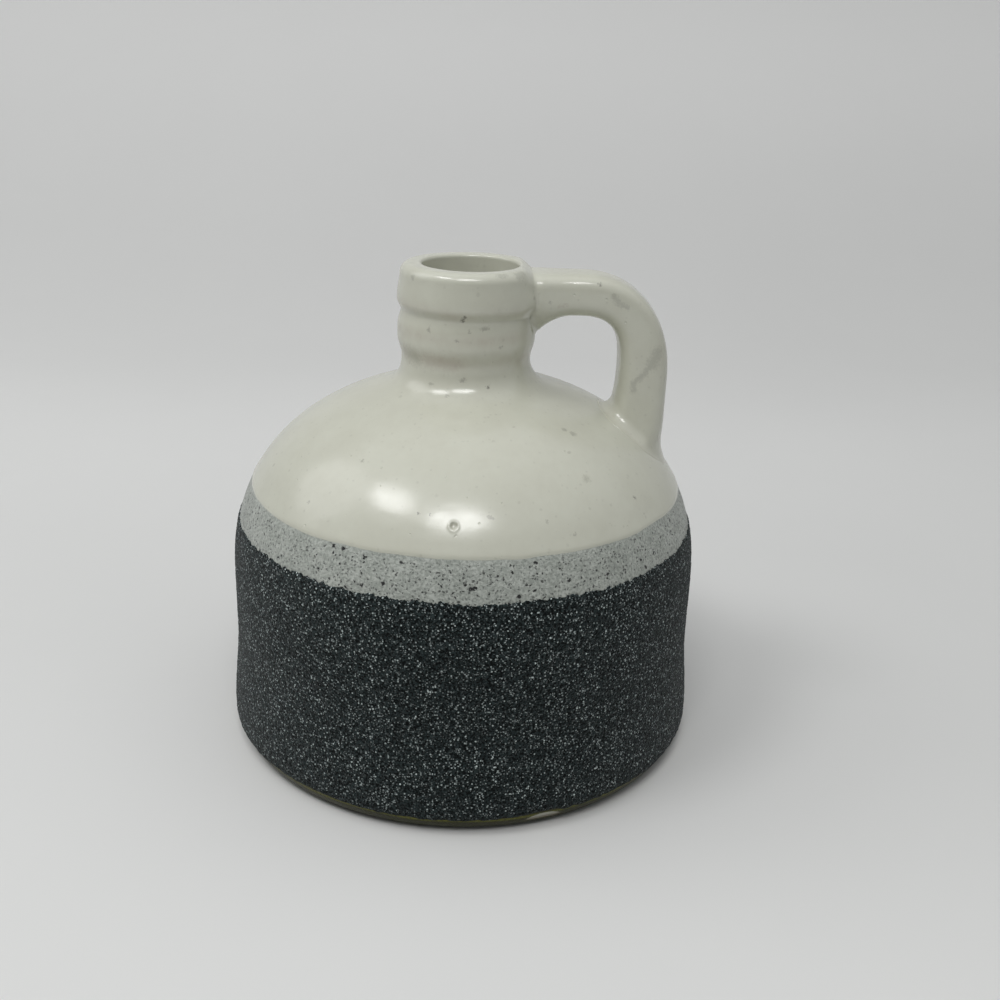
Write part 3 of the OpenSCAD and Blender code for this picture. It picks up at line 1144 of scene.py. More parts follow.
@dataclass(frozen=True)
class GritFinish(Finish):
    """Dark sanded slip: charcoal grains, some of them pale, the pale ones coloured with painted glints."""

    plain: tuple[tuple[str, float], ...] = (
        ("Specular IOR Level", 0.08),
        ("Sheen Weight", 0.13),
        ("Sheen Roughness", 0.4),
    )
    relief_depth: float = 0.22
    base: Colour = (0.0018, 0.0032, 0.0033)
    grain: Colour = (0.034, 0.048, 0.049)
    # Painted glints: near-white colour for the pale sand grains, standing in for their sparkle
    glint: Colour = (0.78, 0.88, 0.87)
    patches: Patches = Patches(size=6.0, low=0.25, high=0.75, shift=8.0)
    patch_range: Gain = (0.35, 0.8)
    fine: Patches = Patches(size=0.6, low=0.4, high=0.64, shift=19.0)
    fine_h: float = 0.5
    sand: Specks = Specks(cell=0.52, radius=0.19, softness=0.08, share=0.97, warp=0.3, shift=4.0)
    sand_keen: float = 4.0
    sand_h: float = 0.6
    crumb: Specks = Specks(cell=1.4, radius=0.2, softness=0.08, share=0.5, warp=0.5, shift=63.0)
    crumb_part: float = 0.8
    bare_range: Gain = (-0.85, 1.0)
    roughness: Gain = (-0.3, 0.75)

    def lay(self, bench: NodeBench, shader: bpy.types.Node) -> None:
        """Lays grains of every tone on the dark slip, the brightest coloured as painted glints, with a few
        larger bright ones, and their relief.

        Args:
            bench: Bench of the material.
            shader: The material's shader.
        """
        patches, fine = self.patches.place(bench), self.fine.place(bench)
        sand, crumb = self.sand.place(bench), self.crumb.place(bench)
        kept = bench.scaled(bench.painted("bare"), *self.bare_range)
        density = bench.times(bench.scaled(patches, *self.patch_range), kept)
        colour = bench.mix(fine, self.base, self.grain)
        # Painted glints: the brightest sand grains and crumbs take the near-white glint colour
        keen = bench.times(bench.math("POWER", sand["Tone"], self.sand_keen), density)
        colour = bench.mix(bench.times(sand["Mask"], keen), colour, self.glint)
        spark = bench.times(crumb["Mask"], bench.times(crumb["Tone"], kept))
        colour = bench.mix(bench.times(spark, self.crumb_part), colour, self.glint)
        bench.feed(shader.inputs["Base Color"], colour)
        bench.feed(shader.inputs["Roughness"], bench.scaled(spark, *self.roughness))
        height = bench.scaled(sand["Mask"], self.sand_h, bench.times(fine, self.fine_h))
        self.relief(bench, shader, bench.math("ADD", height, spark))


@dataclass(frozen=True)
class ClayFinish(Finish):
    """Buff fired clay, with an olive-brown wash where the mesh is painted so, a painted highlight along the
    wash's top and a pale chip that also carries a painted highlight.
    """

    plain: tuple[tuple[str, float], ...] = (("Specular IOR Level", 0.2),)
    buff: Colour = (0.46, 0.375, 0.265)
    toasted: Colour = (0.37, 0.275, 0.175)
    wash: Colour = (0.036, 0.038, 0.012)
    # Painted highlight: bright yellow line along the top of the foot's wash, where the glaze's edge catches
    # light
    amber_highlight: Colour = (0.22, 0.22, 0.03)
    # Bared clay in the chip, made paler than the buff body: partly its own colour, partly a painted
    # highlight
    chip: Colour = (0.66, 0.66, 0.58)
    grog: Colour = (0.17, 0.12, 0.075)
    patches: Patches = Patches(size=9.0, low=0.3, high=0.7, shift=6.0)
    fine: Patches = Patches(size=0.7, low=0.3, high=0.7, shift=14.0)
    fine_h: float = 0.6
    grog_specks: Specks = Specks(cell=1.6, radius=0.3, softness=0.12, share=0.5, warp=0.3, shift=33.0)
    grog_part: float = 0.4
    amber_range: Gain = (0.6, 0.35)
    roughness: Gain = (-0.45, 0.8)

    def lay(self, bench: NodeBench, shader: bpy.types.Node) -> None:
        """Lays clay with grog, then the wash, the thin amber line along it that is the glaze's edge with a
        painted highlight, and the bare chip, whose pale colour is partly a painted highlight.

        Args:
            bench: Bench of the material.
            shader: The material's shader.
        """
        patches, fine = self.patches.place(bench), self.fine.place(bench)
        grog = self.grog_specks.place(bench)["Mask"]
        colour = bench.mix(patches, self.buff, self.toasted)
        colour = bench.mix(bench.times(grog, self.grog_part), colour, self.grog)
        wash = bench.painted("wash")
        colour = bench.mix(wash, colour, self.wash)
        # Painted highlight: the glaze's edge along the wash is coloured as if it caught the light
        amber_highlight = bench.times(bench.painted("amber_highlight"), bench.scaled(fine, *self.amber_range))
        colour = bench.mix(amber_highlight, colour, self.amber_highlight)
        # The chip's pale colour is partly a painted highlight
        colour = bench.mix(bench.painted("chip"), colour, self.chip)
        bench.feed(shader.inputs["Base Color"], colour)
        bench.feed(shader.inputs["Roughness"], bench.scaled(wash, *self.roughness))
        self.relief(bench, shader, bench.scaled(fine, self.fine_h, grog))


@dataclass(frozen=True)
class PaperFinish(Finish):
    """Plain pale paper of the stage, seen paler than the light that it sends back, with painted light
    glowing up the wall and far behind.
    """

    plain: tuple[tuple[str, float], ...] = (("Roughness", 0.9), ("Specular IOR Level", 0.2))
    seen: Colour = (0.785, 0.786, 0.777)
    sent: Colour = (0.56, 0.562, 0.556)
    patches: Patches = Patches(size=160.0, low=0.2, high=0.8, shift=1.0)
    patch_shade: float = 0.98
    # Painted light: emission colour and strengths that brighten the paper up the wall and far behind
    glow: Colour = (1.0, 1.0, 1.0)
    wall_rise: Place = (0.0, 220.0)
    wall_lift: float = 0.09
    far_run: Place = (20.0, 320.0)
    far_lift: float = 0.075

    def lay(self, bench: NodeBench, shader: bpy.types.Node) -> None:
        """Lays even matte paper with a trace of unevenness, and paints light on it: a glow for camera and
        glossy rays that brightens it a little far behind and up the wall.

        Args:
            bench: Bench of the material.
            shader: The material's shader.
        """
        patches = self.patches.place(bench)
        path = bench.node("ShaderNodeLightPath").outputs
        looked_at = bench.math("MAXIMUM", path["Is Camera Ray"], path["Is Glossy Ray"])
        darker = tuple(self.patch_shade * part for part in self.seen)
        colour = bench.mix(looked_at, self.sent, bench.mix(patches, self.seen, darker))
        bench.feed(shader.inputs["Base Color"], colour)
        # Painted light: emission that brightens the paper far behind and up the wall, for camera and glossy
        # rays only
        _, far, high = bench.fed("ShaderNodeSeparateXYZ", (bench.millimetres(),))
        wall_lift = bench.span(high, *self.wall_rise, 0.0, self.wall_lift)
        lift = bench.math("ADD", wall_lift, bench.span(far, *self.far_run, 0.0, self.far_lift))
        bench.feed(shader.inputs["Emission Color"], self.glow)
        bench.feed(shader.inputs["Emission Strength"], bench.times(lift, looked_at))


def on_root(piece: bpy.types.Object, finish: Finish, slot: str, *nodes: str) -> bpy.types.Object:
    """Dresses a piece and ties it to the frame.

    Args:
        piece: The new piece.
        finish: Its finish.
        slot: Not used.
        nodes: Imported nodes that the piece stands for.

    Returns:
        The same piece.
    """
    piece.data.materials.append(finish.material())
    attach(piece, "root")
    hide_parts(*nodes)
    LOG.info("%s: %d faces, stands for %s", piece.name, len(piece.data.polygons), ", ".join(nodes))
    return piece


@dataclass
class ThrownBody:
    """Floor, wall and shoulder of fired clay, with the collar of the neck.

    The body's row counts are those of the hollow, the rest ring, the foot, the wall, the neck's seat
    and the inside.
    """

    section: JugSection
    around: int = 360
    gather: float = 0.45
    body_rows: tuple[int, ...] = (24, 8, 60, 120, 6, 110)
    collar_rows: int = 220
    axis_gap: float = 1.5
    joint_gap: float = 0.3
    foot_end: float = 14.0
    wall_start: float = 14.6
    seat_inset: float = 0.5
    below_bore: float = 0.2
    wash_top: float = 7.5
    wash_fade: float = 1.0
    wash_under: float = 2.2
    wash_wave: Ripple = Ripple(0.5, 40, 5)
    # Height and width of the painted highlight along the wash's top edge
    amber_h: float = 4.5
    amber_w: float = 0.45
    amber_wave_part: float = 0.4
    chip_at: Point = (23.9, -67.6, 3.7)
    chip_half_w: float = 5.0
    chip_half_h: float = 0.95
    chip_depth: float = 0.7
    chip_near: float = 6.0
    chip_bow: float = 0.035
    chip_fade: Place = (0.75, 1.1)

    def body_line(self) -> np.ndarray:
        """Section of the body.

        Returns:
            Points from under the foot over the wall and the seat to the floor inside.
        """
        s, rows = self.section, self.body_rows
        ring_r, rest_r = s.rest_d / 2 - s.foot_ring_w, s.rest_d / 2
        hollow = np.linspace(self.axis_gap, ring_r - s.foot_recess, rows[0])
        ring = np.linspace(ring_r, rest_r - self.joint_gap, rows[1])
        foot = np.linspace(self.joint_gap, self.foot_end, rows[2])
        wall = np.linspace(self.wall_start, s.outside.where_height(s.seat_z), rows[3])
        seat = np.linspace(s.collar_foot_d / 2 - self.seat_inset, s.bore_r + self.joint_gap, rows[4])
        start = s.bore_top_z - (s.seat_z - s.bore_run - self.below_bore)
        inside = np.linspace(start, s.cavity.length - self.axis_gap, rows[5])
        under = [pairs(hollow, s.foot_recess), pairs(ring, 0.0)]
        outside = s.outside.at(np.concatenate([foot, wall]))
        return np.concatenate([*under, outside, pairs(seat, s.seat_z), s.cavity.at(inside)])

    def body(self) -> bpy.types.Object:
        """Turns the clay body, with its washed foot, the painted highlight along the wash and the chip in
        it.

        Returns:
            The dressed piece.
        """
        s, azimuth = self.section, columns(self.around, self.gather)
        rows = s.spun(self.body_line(), azimuth)
        height, radius = rows[..., 2], np.hypot(rows[..., 0], rows[..., 1])
        chip = self.chip_mask(rows)
        out = rows * [1, 1, 0] / np.maximum(radius, TINY)[..., None]
        grid = Grid("thrown_body", rows - out * (self.chip_depth * chip)[..., None])
        wave = self.wash_wave.at(azimuth[None])
        low = 1 - smooth(self.wash_top - self.wash_fade, self.wash_top, height + wave)
        wash = (radius > s.rest_d / 2 - self.wash_under) * low * (1 - chip)
        grid.paint("wash", wash)
        grid.paint("amber_highlight", wash * bump(height - self.amber_h - self.amber_wave_part * wave, self.amber_w))
        # Mask of the chip, whose pale colour is partly a painted highlight
        grid.paint("chip", chip)
        piece = grid.poled((0, 0, s.foot_recess), (0, 0, s.floor_t))
        return on_root(piece, ClayFinish("fired_clay"), "fired_clay", "vessel_body")

    def chip_mask(self, points: np.ndarray) -> np.ndarray:
        """How far points lie in the chip at the foot.

        Args:
            points: Points in space.

        Returns:
            Values from 0 outside the chip to 1 within it.
        """
        x, y, z = (points[..., i] - self.chip_at[i] for i in range(3))
        out_x, out_y = np.array(self.chip_at[:2]) / np.hypot(*self.chip_at[:2])
        along, deep = y * out_x - x * out_y, x * out_x + y * out_y
        reach = np.hypot(along / self.chip_half_w, (z + self.chip_bow * along**2) / self.chip_half_h)
        return (np.abs(deep) < self.chip_near) * (1 - smooth(*self.chip_fade, reach))

    def collar(self) -> bpy.types.Object:
        """Turns the clay of the ringed neck under its glaze.

        Returns:
            The dressed piece.
        """
        s, line = self.section, self.section.outside
        loop = line.at(np.linspace(line.where_height(s.seat_z), line.length, self.collar_rows))
        loop[-1, 1] = s.seat_z
        piece = Grid("neck_clay", s.spun(loop, columns(self.around))).ring()
        return on_root(piece, ClayFinish("collar_clay"), "fired_clay", "neck_collar")


@dataclass
class CreamCoat:
    """Cream glaze on the shoulder, the neck and the lip.

    A thin stretch has a height above the lower ring's crest or the groove, a width and a strength.
    """

    section: JugSection
    around: int = 880
    gather: float = 0.5
    rows: int = 270
    finer: tuple[Spot, ...] = ((0.0, 0.012, 6.0), (0.93, 0.05, 1.2), (0.09, 0.02, 1.0))
    neck_finer: Gain = (0.16, 0.7)
    back_lift: float = 0.02
    edge_drop: float = 0.6
    edge_waves: tuple[Ripple, ...] = (Ripple(0.28, 22, 11), Ripple(0.14, 75, 12))
    edge_t: float = 0.3
    edge_w: float = 1.2
    edge_lip: float = 0.07
    edge_lip_w: float = 1.5
    throw_waves: tuple[Ripple, ...] = (Ripple(0.05, 9, 21, 14.0), Ripple(0.018, 46, 22, 2.6))
    throw_from: float = 6.0
    rim_sink: float = 0.07
    rim_sink_run: Place = (7.0, 2.0)
    bore_start: float = 2.5
    bore_reach: float = 13.0
    end_t: float = 0.4
    thin_wave: Ripple = Ripple(0.5, 14, 31, 5.0)
    thin_part: float = 0.8
    thin_by_crest: tuple[Spot, ...] = ((-4.0, 2.2, 1.0), (2.4, 1.9, 0.55))
    thin_by_groove: tuple[Spot, ...] = ((2.6, 1.8, 0.75),)
    crater_place: Place = (-92.8, 86.0)
    crater_r: float = 1.25
    crater_flat_r: float = 0.35
    crater_depth: float = 0.38
    crater_rim_h: float = 0.12
    crater_rim_w: float = 0.3
    marks: tuple[Mark, ...] = ()

    def edge_height(self, azimuth: np.ndarray) -> np.ndarray:
        """Height of the dipped edge round the jug, slightly wavy."""
        return self.section.band_top_h - self.edge_drop + rippled(self.edge_waves, azimuth)

    def skin_point(self, turn: float, height: float) -> Point:
        """Point on the glaze's skin at a turn in degrees and a height."""
        return self.section.coat_point(turn, height, self.section.cream_t)

    def thickness(self, beyond: np.ndarray, along: np.ndarray, azimuth: np.ndarray) -> np.ndarray:
        """Thickness of the glaze.

        Args:
            beyond: Distance from the dipped edge.
            along: Distance along the section.
            azimuth: Angle round the jug.

        Returns:
            Lift of the glaze's skin off the clay.
        """
        s, crest = self.section, self.section.crest_along
        full = np.sqrt(np.clip(1 - (1 - np.clip(beyond / self.edge_w, 0, 1)) ** 2, 0, 1))
        lip = self.edge_lip * full * bump(beyond - self.edge_w, self.edge_lip_w)
        throw = rippled(self.throw_waves, azimuth, along) * smooth(0, self.throw_from, beyond)
        sink_start, sink_end = (crest - before for before in self.rim_sink_run)
        sunk = self.rim_sink * smooth(sink_start, sink_end, along)
        inside = smooth(crest + self.bore_start, crest + self.bore_reach, along)
        return lerp(lerp(self.edge_t, s.cream_t, full) + lip + throw - sunk, self.end_t, inside)

    def crater(self, points: np.ndarray) -> np.ndarray:
        """Rise of the burst bubble's rim and sink of its middle.

        Args:
            points: Points on the glaze's skin.

        Returns:
            What the bubble adds to the glaze's thickness.
        """
        away = np.linalg.norm(points - np.array(self.skin_point(*self.crater_place)), axis=-1)
        rim = self.crater_rim_h * bump(away - self.crater_r, self.crater_rim_w)
        return rim - self.crater_depth * (1 - smooth(self.crater_flat_r, self.crater_r, away))

    def thin_places(self, height: np.ndarray, azimuth: np.ndarray) -> np.ndarray:
        """Where the glaze ran thin: round the waist, on the rings and in the groove.

        Args:
            height: Heights of points on the skin.
            azimuth: Angles of the points.

        Returns:
            Values from 0 to 1, the highest where the glaze is thinnest.
        """
        s, total = self.section, 0.0
        for level, stretches in ((s.lower_crest_z, self.thin_by_crest), (s.groove_z, self.thin_by_groove)):
            for above, width, part in stretches:
                total = total + part * bump(height - level - above, width)
        uneven = self.thin_wave.height + self.thin_wave.at(azimuth, height)
        return np.clip(self.thin_part * uneven * total, 0, 1)

    def build(self) -> bpy.types.Object:
        """Turns the glaze's skin from its dipped edge over the lip.

        Returns:
            The dressed piece.
        """
        s, line = self.section, self.section.outside
        azimuth = columns(self.around, self.gather)[None]
        start, end = line.where_height(self.edge_height(azimuth)), s.crest_along + self.bore_reach
        neck = float((line.where_height(s.groove_z) - start.mean()) / (end - start.mean()))
        places = graded(self.rows, [(neck, *self.neck_finer), *self.finer])
        along = start + (end - start) * places[:, None]
        lift = self.thickness(along - start, along, azimuth)
        lift = lift + self.crater(s.around(line.lifted(along, lift), azimuth))
        grid = s.coat("cream_coat", along, (lift, self.back_lift), azimuth)
        grid.paint("thin", self.thin_places(grid.rows[: self.rows, :, 2], azimuth))
        finish = CreamFinish("cream_glaze", marks=self.marks, where=self.skin_point)
        return on_root(grid.ring(), finish, "cream_glaze", "cream_glaze")


@dataclass
class SpeckledSlip:
    """Matte speckled band between the cream glaze and the sanded slip."""

    section: JugSection
    cream: CreamCoat
    around: int = 1080
    gather: float = 0.4
    rows: int = 40
    lift: float = 0.42
    least_lift: float = 0.03
    back_lift: float = 0.01
    edge_w: float = 0.8
    under_cream: float = 2.0
    under_grit: float = 2.5
    pits: tuple[Ripple, ...] = (Ripple(0.05, 420, 41, 1.1), Ripple(0.04, 150, 42, 3.0))
    clear_h: float = 2.4
    clear_least: float = 0.55
    clear_wave: Ripple = Ripple(0.45, 16, 43)
    clear_part: float = 0.8
    marks: tuple[Mark, ...] = ()

    def slip_point(self, turn: float, height: float) -> Point:
        """Point on the slip at a turn in degrees and a height."""
        return self.section.coat_point(turn, height, self.lift)

    def build(self) -> bpy.types.Object:
        """Turns the band, uneven with pits, from under the grit to under the cream.

        Returns:
            The dressed piece.
        """
        s, line = self.section, self.section.outside
        azimuth = columns(self.around, self.gather)[None]
        cream_edge = self.cream.edge_height(azimuth)
        start = line.where_height(s.grit_top_h - self.under_grit)
        end = line.where_height(cream_edge + self.under_cream)
        along = start + (end - start) * np.linspace(0, 1, self.rows)[:, None]
        lift = self.lift + rippled(self.pits, azimuth, along)
        lift = lift * smooth(0, self.edge_w, along - start) * smooth(0, self.edge_w, end - along)
        grid = s.coat("speckled_slip", along, (np.maximum(lift, self.least_lift), self.back_lift), azimuth)
        below = cream_edge - grid.rows[: self.rows, :, 2]
        reach = self.clear_h * (self.clear_least + self.clear_wave.at(azimuth))
        grid.paint("clear", self.clear_part * (1 - smooth(0, 1, below / reach)))
        finish = BandFinish("speckled_slip", marks=self.marks, where=self.slip_point)
        return on_root(grid.ring(), finish, "speckled_slip", "speckled_band")


@dataclass
class SandedSlip:
    """Dark gritty coat on the wall, from the foot to the band."""

    section: JugSection
    body: ThrownBody
    around: int = 1100
    gather: float = 0.35
    rows: int = 165
    finer: tuple[Spot, ...] = ((0.0, 0.012, 2.0), (1.0, 0.012, 2.0))
    start_h: float = 5.2
    lift: float = 0.72
    least_lift: float = 0.1
    back_lift: float = 0.02
    top_waves: tuple[Ripple, ...] = (Ripple(0.3, 900, 50), Ripple(0.3, 330, 51), Ripple(0.25, 90, 52))
    foot_waves: tuple[Ripple, ...] = (Ripple(0.3, 260, 53), Ripple(0.25, 40, 54))
    coarse: Ripple = Ripple(0.10, 480, 56, 0.9)
    fine_h: float = 0.07
    fine_seed: int = 55
    foot_edge_w: float = 0.9
    top_edge_w: float = 0.7
    edge_part: float = 0.45
    chip_rise: float = 0.5
    chip_margin: float = 0.6
    bare_h: float = 3.0

    def start_height(self, azimuth: np.ndarray) -> np.ndarray:
        """Height of the coat's lower edge, which rises over the chip.

        Args:
            azimuth: Angles round the jug.

        Returns:
            Height at each angle.
        """
        chip = np.arctan2(self.body.chip_at[1], self.body.chip_at[0])
        off = ((azimuth - chip + np.pi) % TURN - np.pi) * self.section.foot_r
        over_chip = np.clip(1 - (off / (self.body.chip_half_w + self.chip_margin)) ** 2, 0, 1)
        return self.start_h + rippled(self.foot_waves, azimuth) + self.chip_rise * over_chip

    def build(self) -> bpy.types.Object:
        """Turns the coat with grains standing out of it and ragged edges.

        Returns:
            The dressed piece.
        """
        s, line = self.section, self.section.outside
        azimuth = columns(self.around, self.gather)[None]
        end = line.where_height(s.grit_top_h + rippled(self.top_waves, azimuth))
        start = line.where_height(self.start_height(azimuth))
        along = start + (end - start) * graded(self.rows, list(self.finer))[:, None]
        grains = np.random.default_rng(self.fine_seed).uniform(-1, 1, along.shape)
        rough = self.coarse.at(azimuth, along) + self.fine_h * grains
        from_foot, from_top = (along - start) / self.foot_edge_w, (end - along) / self.top_edge_w
        edge = np.sqrt(np.clip(from_foot, 0, 1) * np.clip(from_top, 0, 1))
        lift = np.clip((self.lift + rough) * lerp(self.edge_part, 1.0, edge), self.least_lift, s.grit_t)
        grid = s.coat("sanded_slip", along, (lift, self.back_lift), azimuth)
        grid.paint("bare", 1 - smooth(0, self.bare_h, along - start))
        return on_root(grid.ring(), GritFinish("sanded_slip"), "sanded_slip", "grit_coat")


@dataclass
class MouthLiner:
    """Glaze inside the mouth, the neck and the body.

    Its rows are those of the neck and of the body.
    """

    section: JugSection
    around: int = 300
    rows: tuple[int, int] = (70, 120)
    start: float = 2.5
    neck_end: float = 45.0
    body_start: float = 46.0
    axis_gap: float = 1.5
    feather: float = 10.0
    feather_t: float = 0.1
    back_lift: float = 0.01
    gloss: Gain = (0.08, 0.18)

    def build(self) -> bpy.types.Object:
        """Turns the liner from under the cream in the mouth to the middle of the floor.

        Returns:
            The dressed piece.
        """
        s, line = self.section, self.section.cavity
        neck = np.linspace(self.start, self.neck_end, self.rows[0])
        body = np.linspace(self.body_start, line.length - self.axis_gap, self.rows[1])
        along = np.concatenate([neck, body])
        lift = lerp(self.feather_t, s.liner_t, smooth(self.start, self.start + self.feather, along))
        skins = np.concatenate([line.lifted(along[::-1], self.back_lift), line.lifted(along, lift)])
        grid = Grid("mouth_liner", s.spun(skins, columns(self.around)))
        piece = grid.poled((0, 0, s.floor_t + self.back_lift), (0, 0, s.floor_t + s.liner_t))
        return on_root(piece, CreamFinish("liner_glaze", gloss=self.gloss), "liner_glaze", "liner_glaze")


@dataclass(frozen=True)
class StrapRows:
    """Points of the handle's strap, by row along it and column round it.

    The rows hold places along the middle line, pushes of the fillets, the glaze's skin, the way out
    of it, the clay under it and the way out of the pot nearby.
    """

    places: np.ndarray
    pushes: np.ndarray
    skin: np.ndarray
    way: np.ndarray
    clay: np.ndarray
    pot: np.ndarray

    def seated(self, rows: np.ndarray, depth: float) -> np.ndarray:
        """Rows with one more at each end, sunk into the pot by a depth."""
        return np.concatenate([rows[:1] - depth * self.pot[:1], rows, rows[-1:] - depth * self.pot[-1:]])


@dataclass
class PulledHandle:
    """Strap handle from the upper ring to the shoulder, with its glaze.

    Each fillet has its size on the strap's outside and on its inside.
    """

    section: JugSection
    inset: float = 19.2
    raise_h: float = 1.9
    strap_w: float = 17.2
    top_t: float = 12.2
    low_t: float = 14.4
    bend_reach: float = 20.0
    bend_drop: float = 23.7
    bend_full: float = 2.5
    bend_pace: float = 1.25
    root_len: float = 9.0
    root_spread: float = 4.6
    root_side: float = 1.0
    foot_sweep_h: float = 19.0
    foot_side: float = 3.2
    foot_inside: float = 3.4
    foot_runout: float = 14.0
    root_depth: float = 5.0
    foot_sink: float = 0.5
    full_top: float = 3.6
    full_low: float = 3.2
    full_oval: float = 2.0
    neck_fillet: Place = (0.5, 2.2)
    foot_fillet: Place = (2.6, 4.5)
    inside_turn: Place = (0.1, 1.0)
    glaze_seat: float = 0.5
    glaze_back_seat: float = 0.7
    glaze_wave: Ripple = Ripple(0.05, 5, 71, 90.0)
    thin_part: float = 0.2
    run_count: int = 80
    bend_count: int = 500
    sections: int = 1200
    around: int = 128
    length_rows: int = 190
    fillet_rows: int = 12
    marks: tuple[Mark, ...] = ()

    @cached_property
    def reach(self) -> float:
        """Distance of the strap's upright part from the axis."""
        return self.section.belly_d / 2 - self.inset

    @cached_property
    def top_z(self) -> float:
        """Height of the strap's level part."""
        return (self.section.upper_crest_z + self.section.step_z) / 2 + self.raise_h

    @cached_property
    def landing_z(self) -> float:
        """Height at which the middle of the strap meets the shoulder."""
        return float(self.section.vault_z(self.reach, self.section.belly_r, self.section.crown_rise))

    @cached_property
    def middle_line(self) -> TurnedLine:
        """Middle line of the strap.

        Returns:
            Line from inside the neck to below the shoulder.
        """
        bend_x, bend_z = self.reach - self.bend_reach, self.top_z - self.bend_drop
        run_x = np.linspace(self.section.upper_ring_d / 2 - self.root_depth, bend_x, self.run_count)
        t = np.linspace(0, 1, self.bend_count)[1:]
        done, left = t**self.bend_pace, (1 - t) ** self.bend_pace
        a, power = QUARTER * (done / (done + left)), 2 / self.bend_full
        curve_x = bend_x + self.bend_reach * np.sin(a) ** power
        curve_z = bend_z + self.bend_drop * np.maximum(np.cos(a), 0) ** power
        drop_z = np.linspace(bend_z, self.landing_z - self.foot_runout, self.run_count)
        parts = [pairs(run_x, self.top_z), pairs(curve_x, curve_z), pairs(self.reach, drop_z)]
        return TurnedLine(np.concatenate(parts))

    @cached_property
    def middle(self) -> np.ndarray:
        """Points of the middle line in even steps."""
        return self.middle_line.at(np.linspace(0, self.middle_line.length, self.sections))

    @cached_property
    def angles(self) -> np.ndarray:
        """Angles round the strap: its outside at a quarter turn, its inside at three quarters."""
        return np.arange(self.around) / self.around * TURN

    def strap_point(self, turn: float, run: float) -> Point:
        """Point on the strap.

        Args:
            turn: Turn round the strap in degrees.
            run: Distance along its middle line.

        Returns:
            The point in space.
        """
        row = int(run / self.middle_line.length * (self.sections - 1))
        points, _ = self.skins(0.0)
        return tuple(float(v) for v in points[row, int(turn / 360 * self.around) % self.around])

    def skins(self, coat: float) -> tuple[np.ndarray, np.ndarray]:
        """Points on the strap's rounded sections, and the way out of each.

        Args:
            coat: Thickness added all round.

        Returns:
            Points and unit directions in space, by section and round it.
        """
        s, x, z = self.section, self.middle[:, 0], self.middle[:, 1]
        run = np.gradient(self.middle, axis=0)
        run /= np.linalg.norm(run, axis=1, keepdims=True)
        lift = np.stack([-run[:, 1], 0 * x, run[:, 0]], -1)[:, None]
        half = lerp(self.top_t, self.low_t, ease((self.top_z - z) / self.bend_drop)) / 2
        back_r = self.reach + self.low_t / 2
        back = s.clay_r(np.array(self.landing_z - self.foot_runout)) - self.foot_sink - back_r
        root = np.clip(1 - (x - s.upper_ring_d / 2) / self.root_len, 0, 1) ** 2
        foot = np.clip((self.landing_z + self.foot_sweep_h - z) / self.foot_sweep_h, 0, 1) ** 2
        spread = np.clip((self.landing_z - z) / self.foot_runout, 0, 1) ** 2
        out_t = (half + back * spread + coat)[:, None]
        in_t = (half + self.root_spread * root + self.foot_inside * foot + coat)[:, None]
        wide = (self.strap_w / 2 + self.root_side * root + self.foot_side * foot + coat)[:, None]
        up, over = np.sin(self.angles)[None], np.cos(self.angles)[None]
        full_top = lerp(self.full_top, self.full_oval, foot)[:, None]
        full_low = lerp(self.full_low, self.full_oval, np.maximum(root, foot))[:, None]
        full, thick = np.where(up > 0, full_top, full_low), np.where(up > 0, out_t, in_t)
        size = (np.abs(up) ** full + np.abs(over) ** full) ** (-1 / full)
        side, centre = np.array([0.0, 1.0, 0.0]), np.stack([x, 0 * x, z], -1)[:, None]
        points = centre + lift * (thick * size * up)[..., None] + side * (wide * size * over)[..., None]
        way = lift * (np.sign(up) * np.abs(up) ** (full - 1) / thick)[..., None]
        way = way + side * (np.sign(over) * np.abs(over) ** (full - 1) / wide)[..., None]
        return points, way / np.linalg.norm(way, axis=-1, keepdims=True)

    def trimmed(self) -> tuple[np.ndarray, np.ndarray]:
        """Where each column of the strap begins and ends on the pot, with its fillets.

        Returns:
            Places along the strap and fillet pushes, by row and column.
        """
        points, _ = self.skins(0.0)
        away, _ = self.section.nearest(points, self.section.cream_t)
        middle = int(np.argmax(away.min(1)))
        turn = np.linspace(QUARTER, 0, self.fillet_rows)
        inside = smooth(*self.inside_turn, -np.sin(self.angles))
        ways = (
            (np.arange(middle, -1, -1), self.neck_fillet),
            (np.arange(middle, self.sections), self.foot_fillet),
        )
        places, pushes = [], []
        for k in range(self.around):
            ends = []
            for order, sizes in ways:
                fillet, gap = lerp(*sizes, inside[k]), away[order, k]
                cut = int(np.argmax(gap < 0)) if (gap < 0).any() else len(order) - 1
                near = order[: cut + 1][::-1]
                climb = np.maximum.accumulate(away[near, k]) + RISING * np.arange(len(near))
                run = np.interp(fillet * (1 - np.sin(turn)), climb, near)
                ends.append((run, fillet * (1 - np.cos(turn))))
            (first, first_push), (last, last_push) = ends
            between = lerp(first[-1], last[-1], np.linspace(0, 1, self.length_rows)[1:-1])
            places.append(np.concatenate([first, between, last[::-1]]))
            pushes.append(np.concatenate([first_push, 0 * between, last_push[::-1]]))
        return np.array(places).T, np.array(pushes).T

    @cached_property
    def strap(self) -> StrapRows:
        """The strap between the neck and the shoulder.

        Returns:
            Its rows.
        """
        places, pushes = self.trimmed()
        skins, ways = self.skins(0.0)
        clays, _ = self.skins(-self.section.cream_t)
        low = np.clip(np.floor(places).astype(int), 0, self.sections - 2)
        part, column = (places - low)[..., None], np.arange(self.around)[None]
        sheets = (lerp(sheet[low, column], sheet[low + 1, column], part) for sheet in (skins, ways, clays))
        skin, way, clay = sheets
        _, pot = self.section.nearest(skin, self.section.cream_t)
        return StrapRows(places, pushes, skin, way, clay, pot)

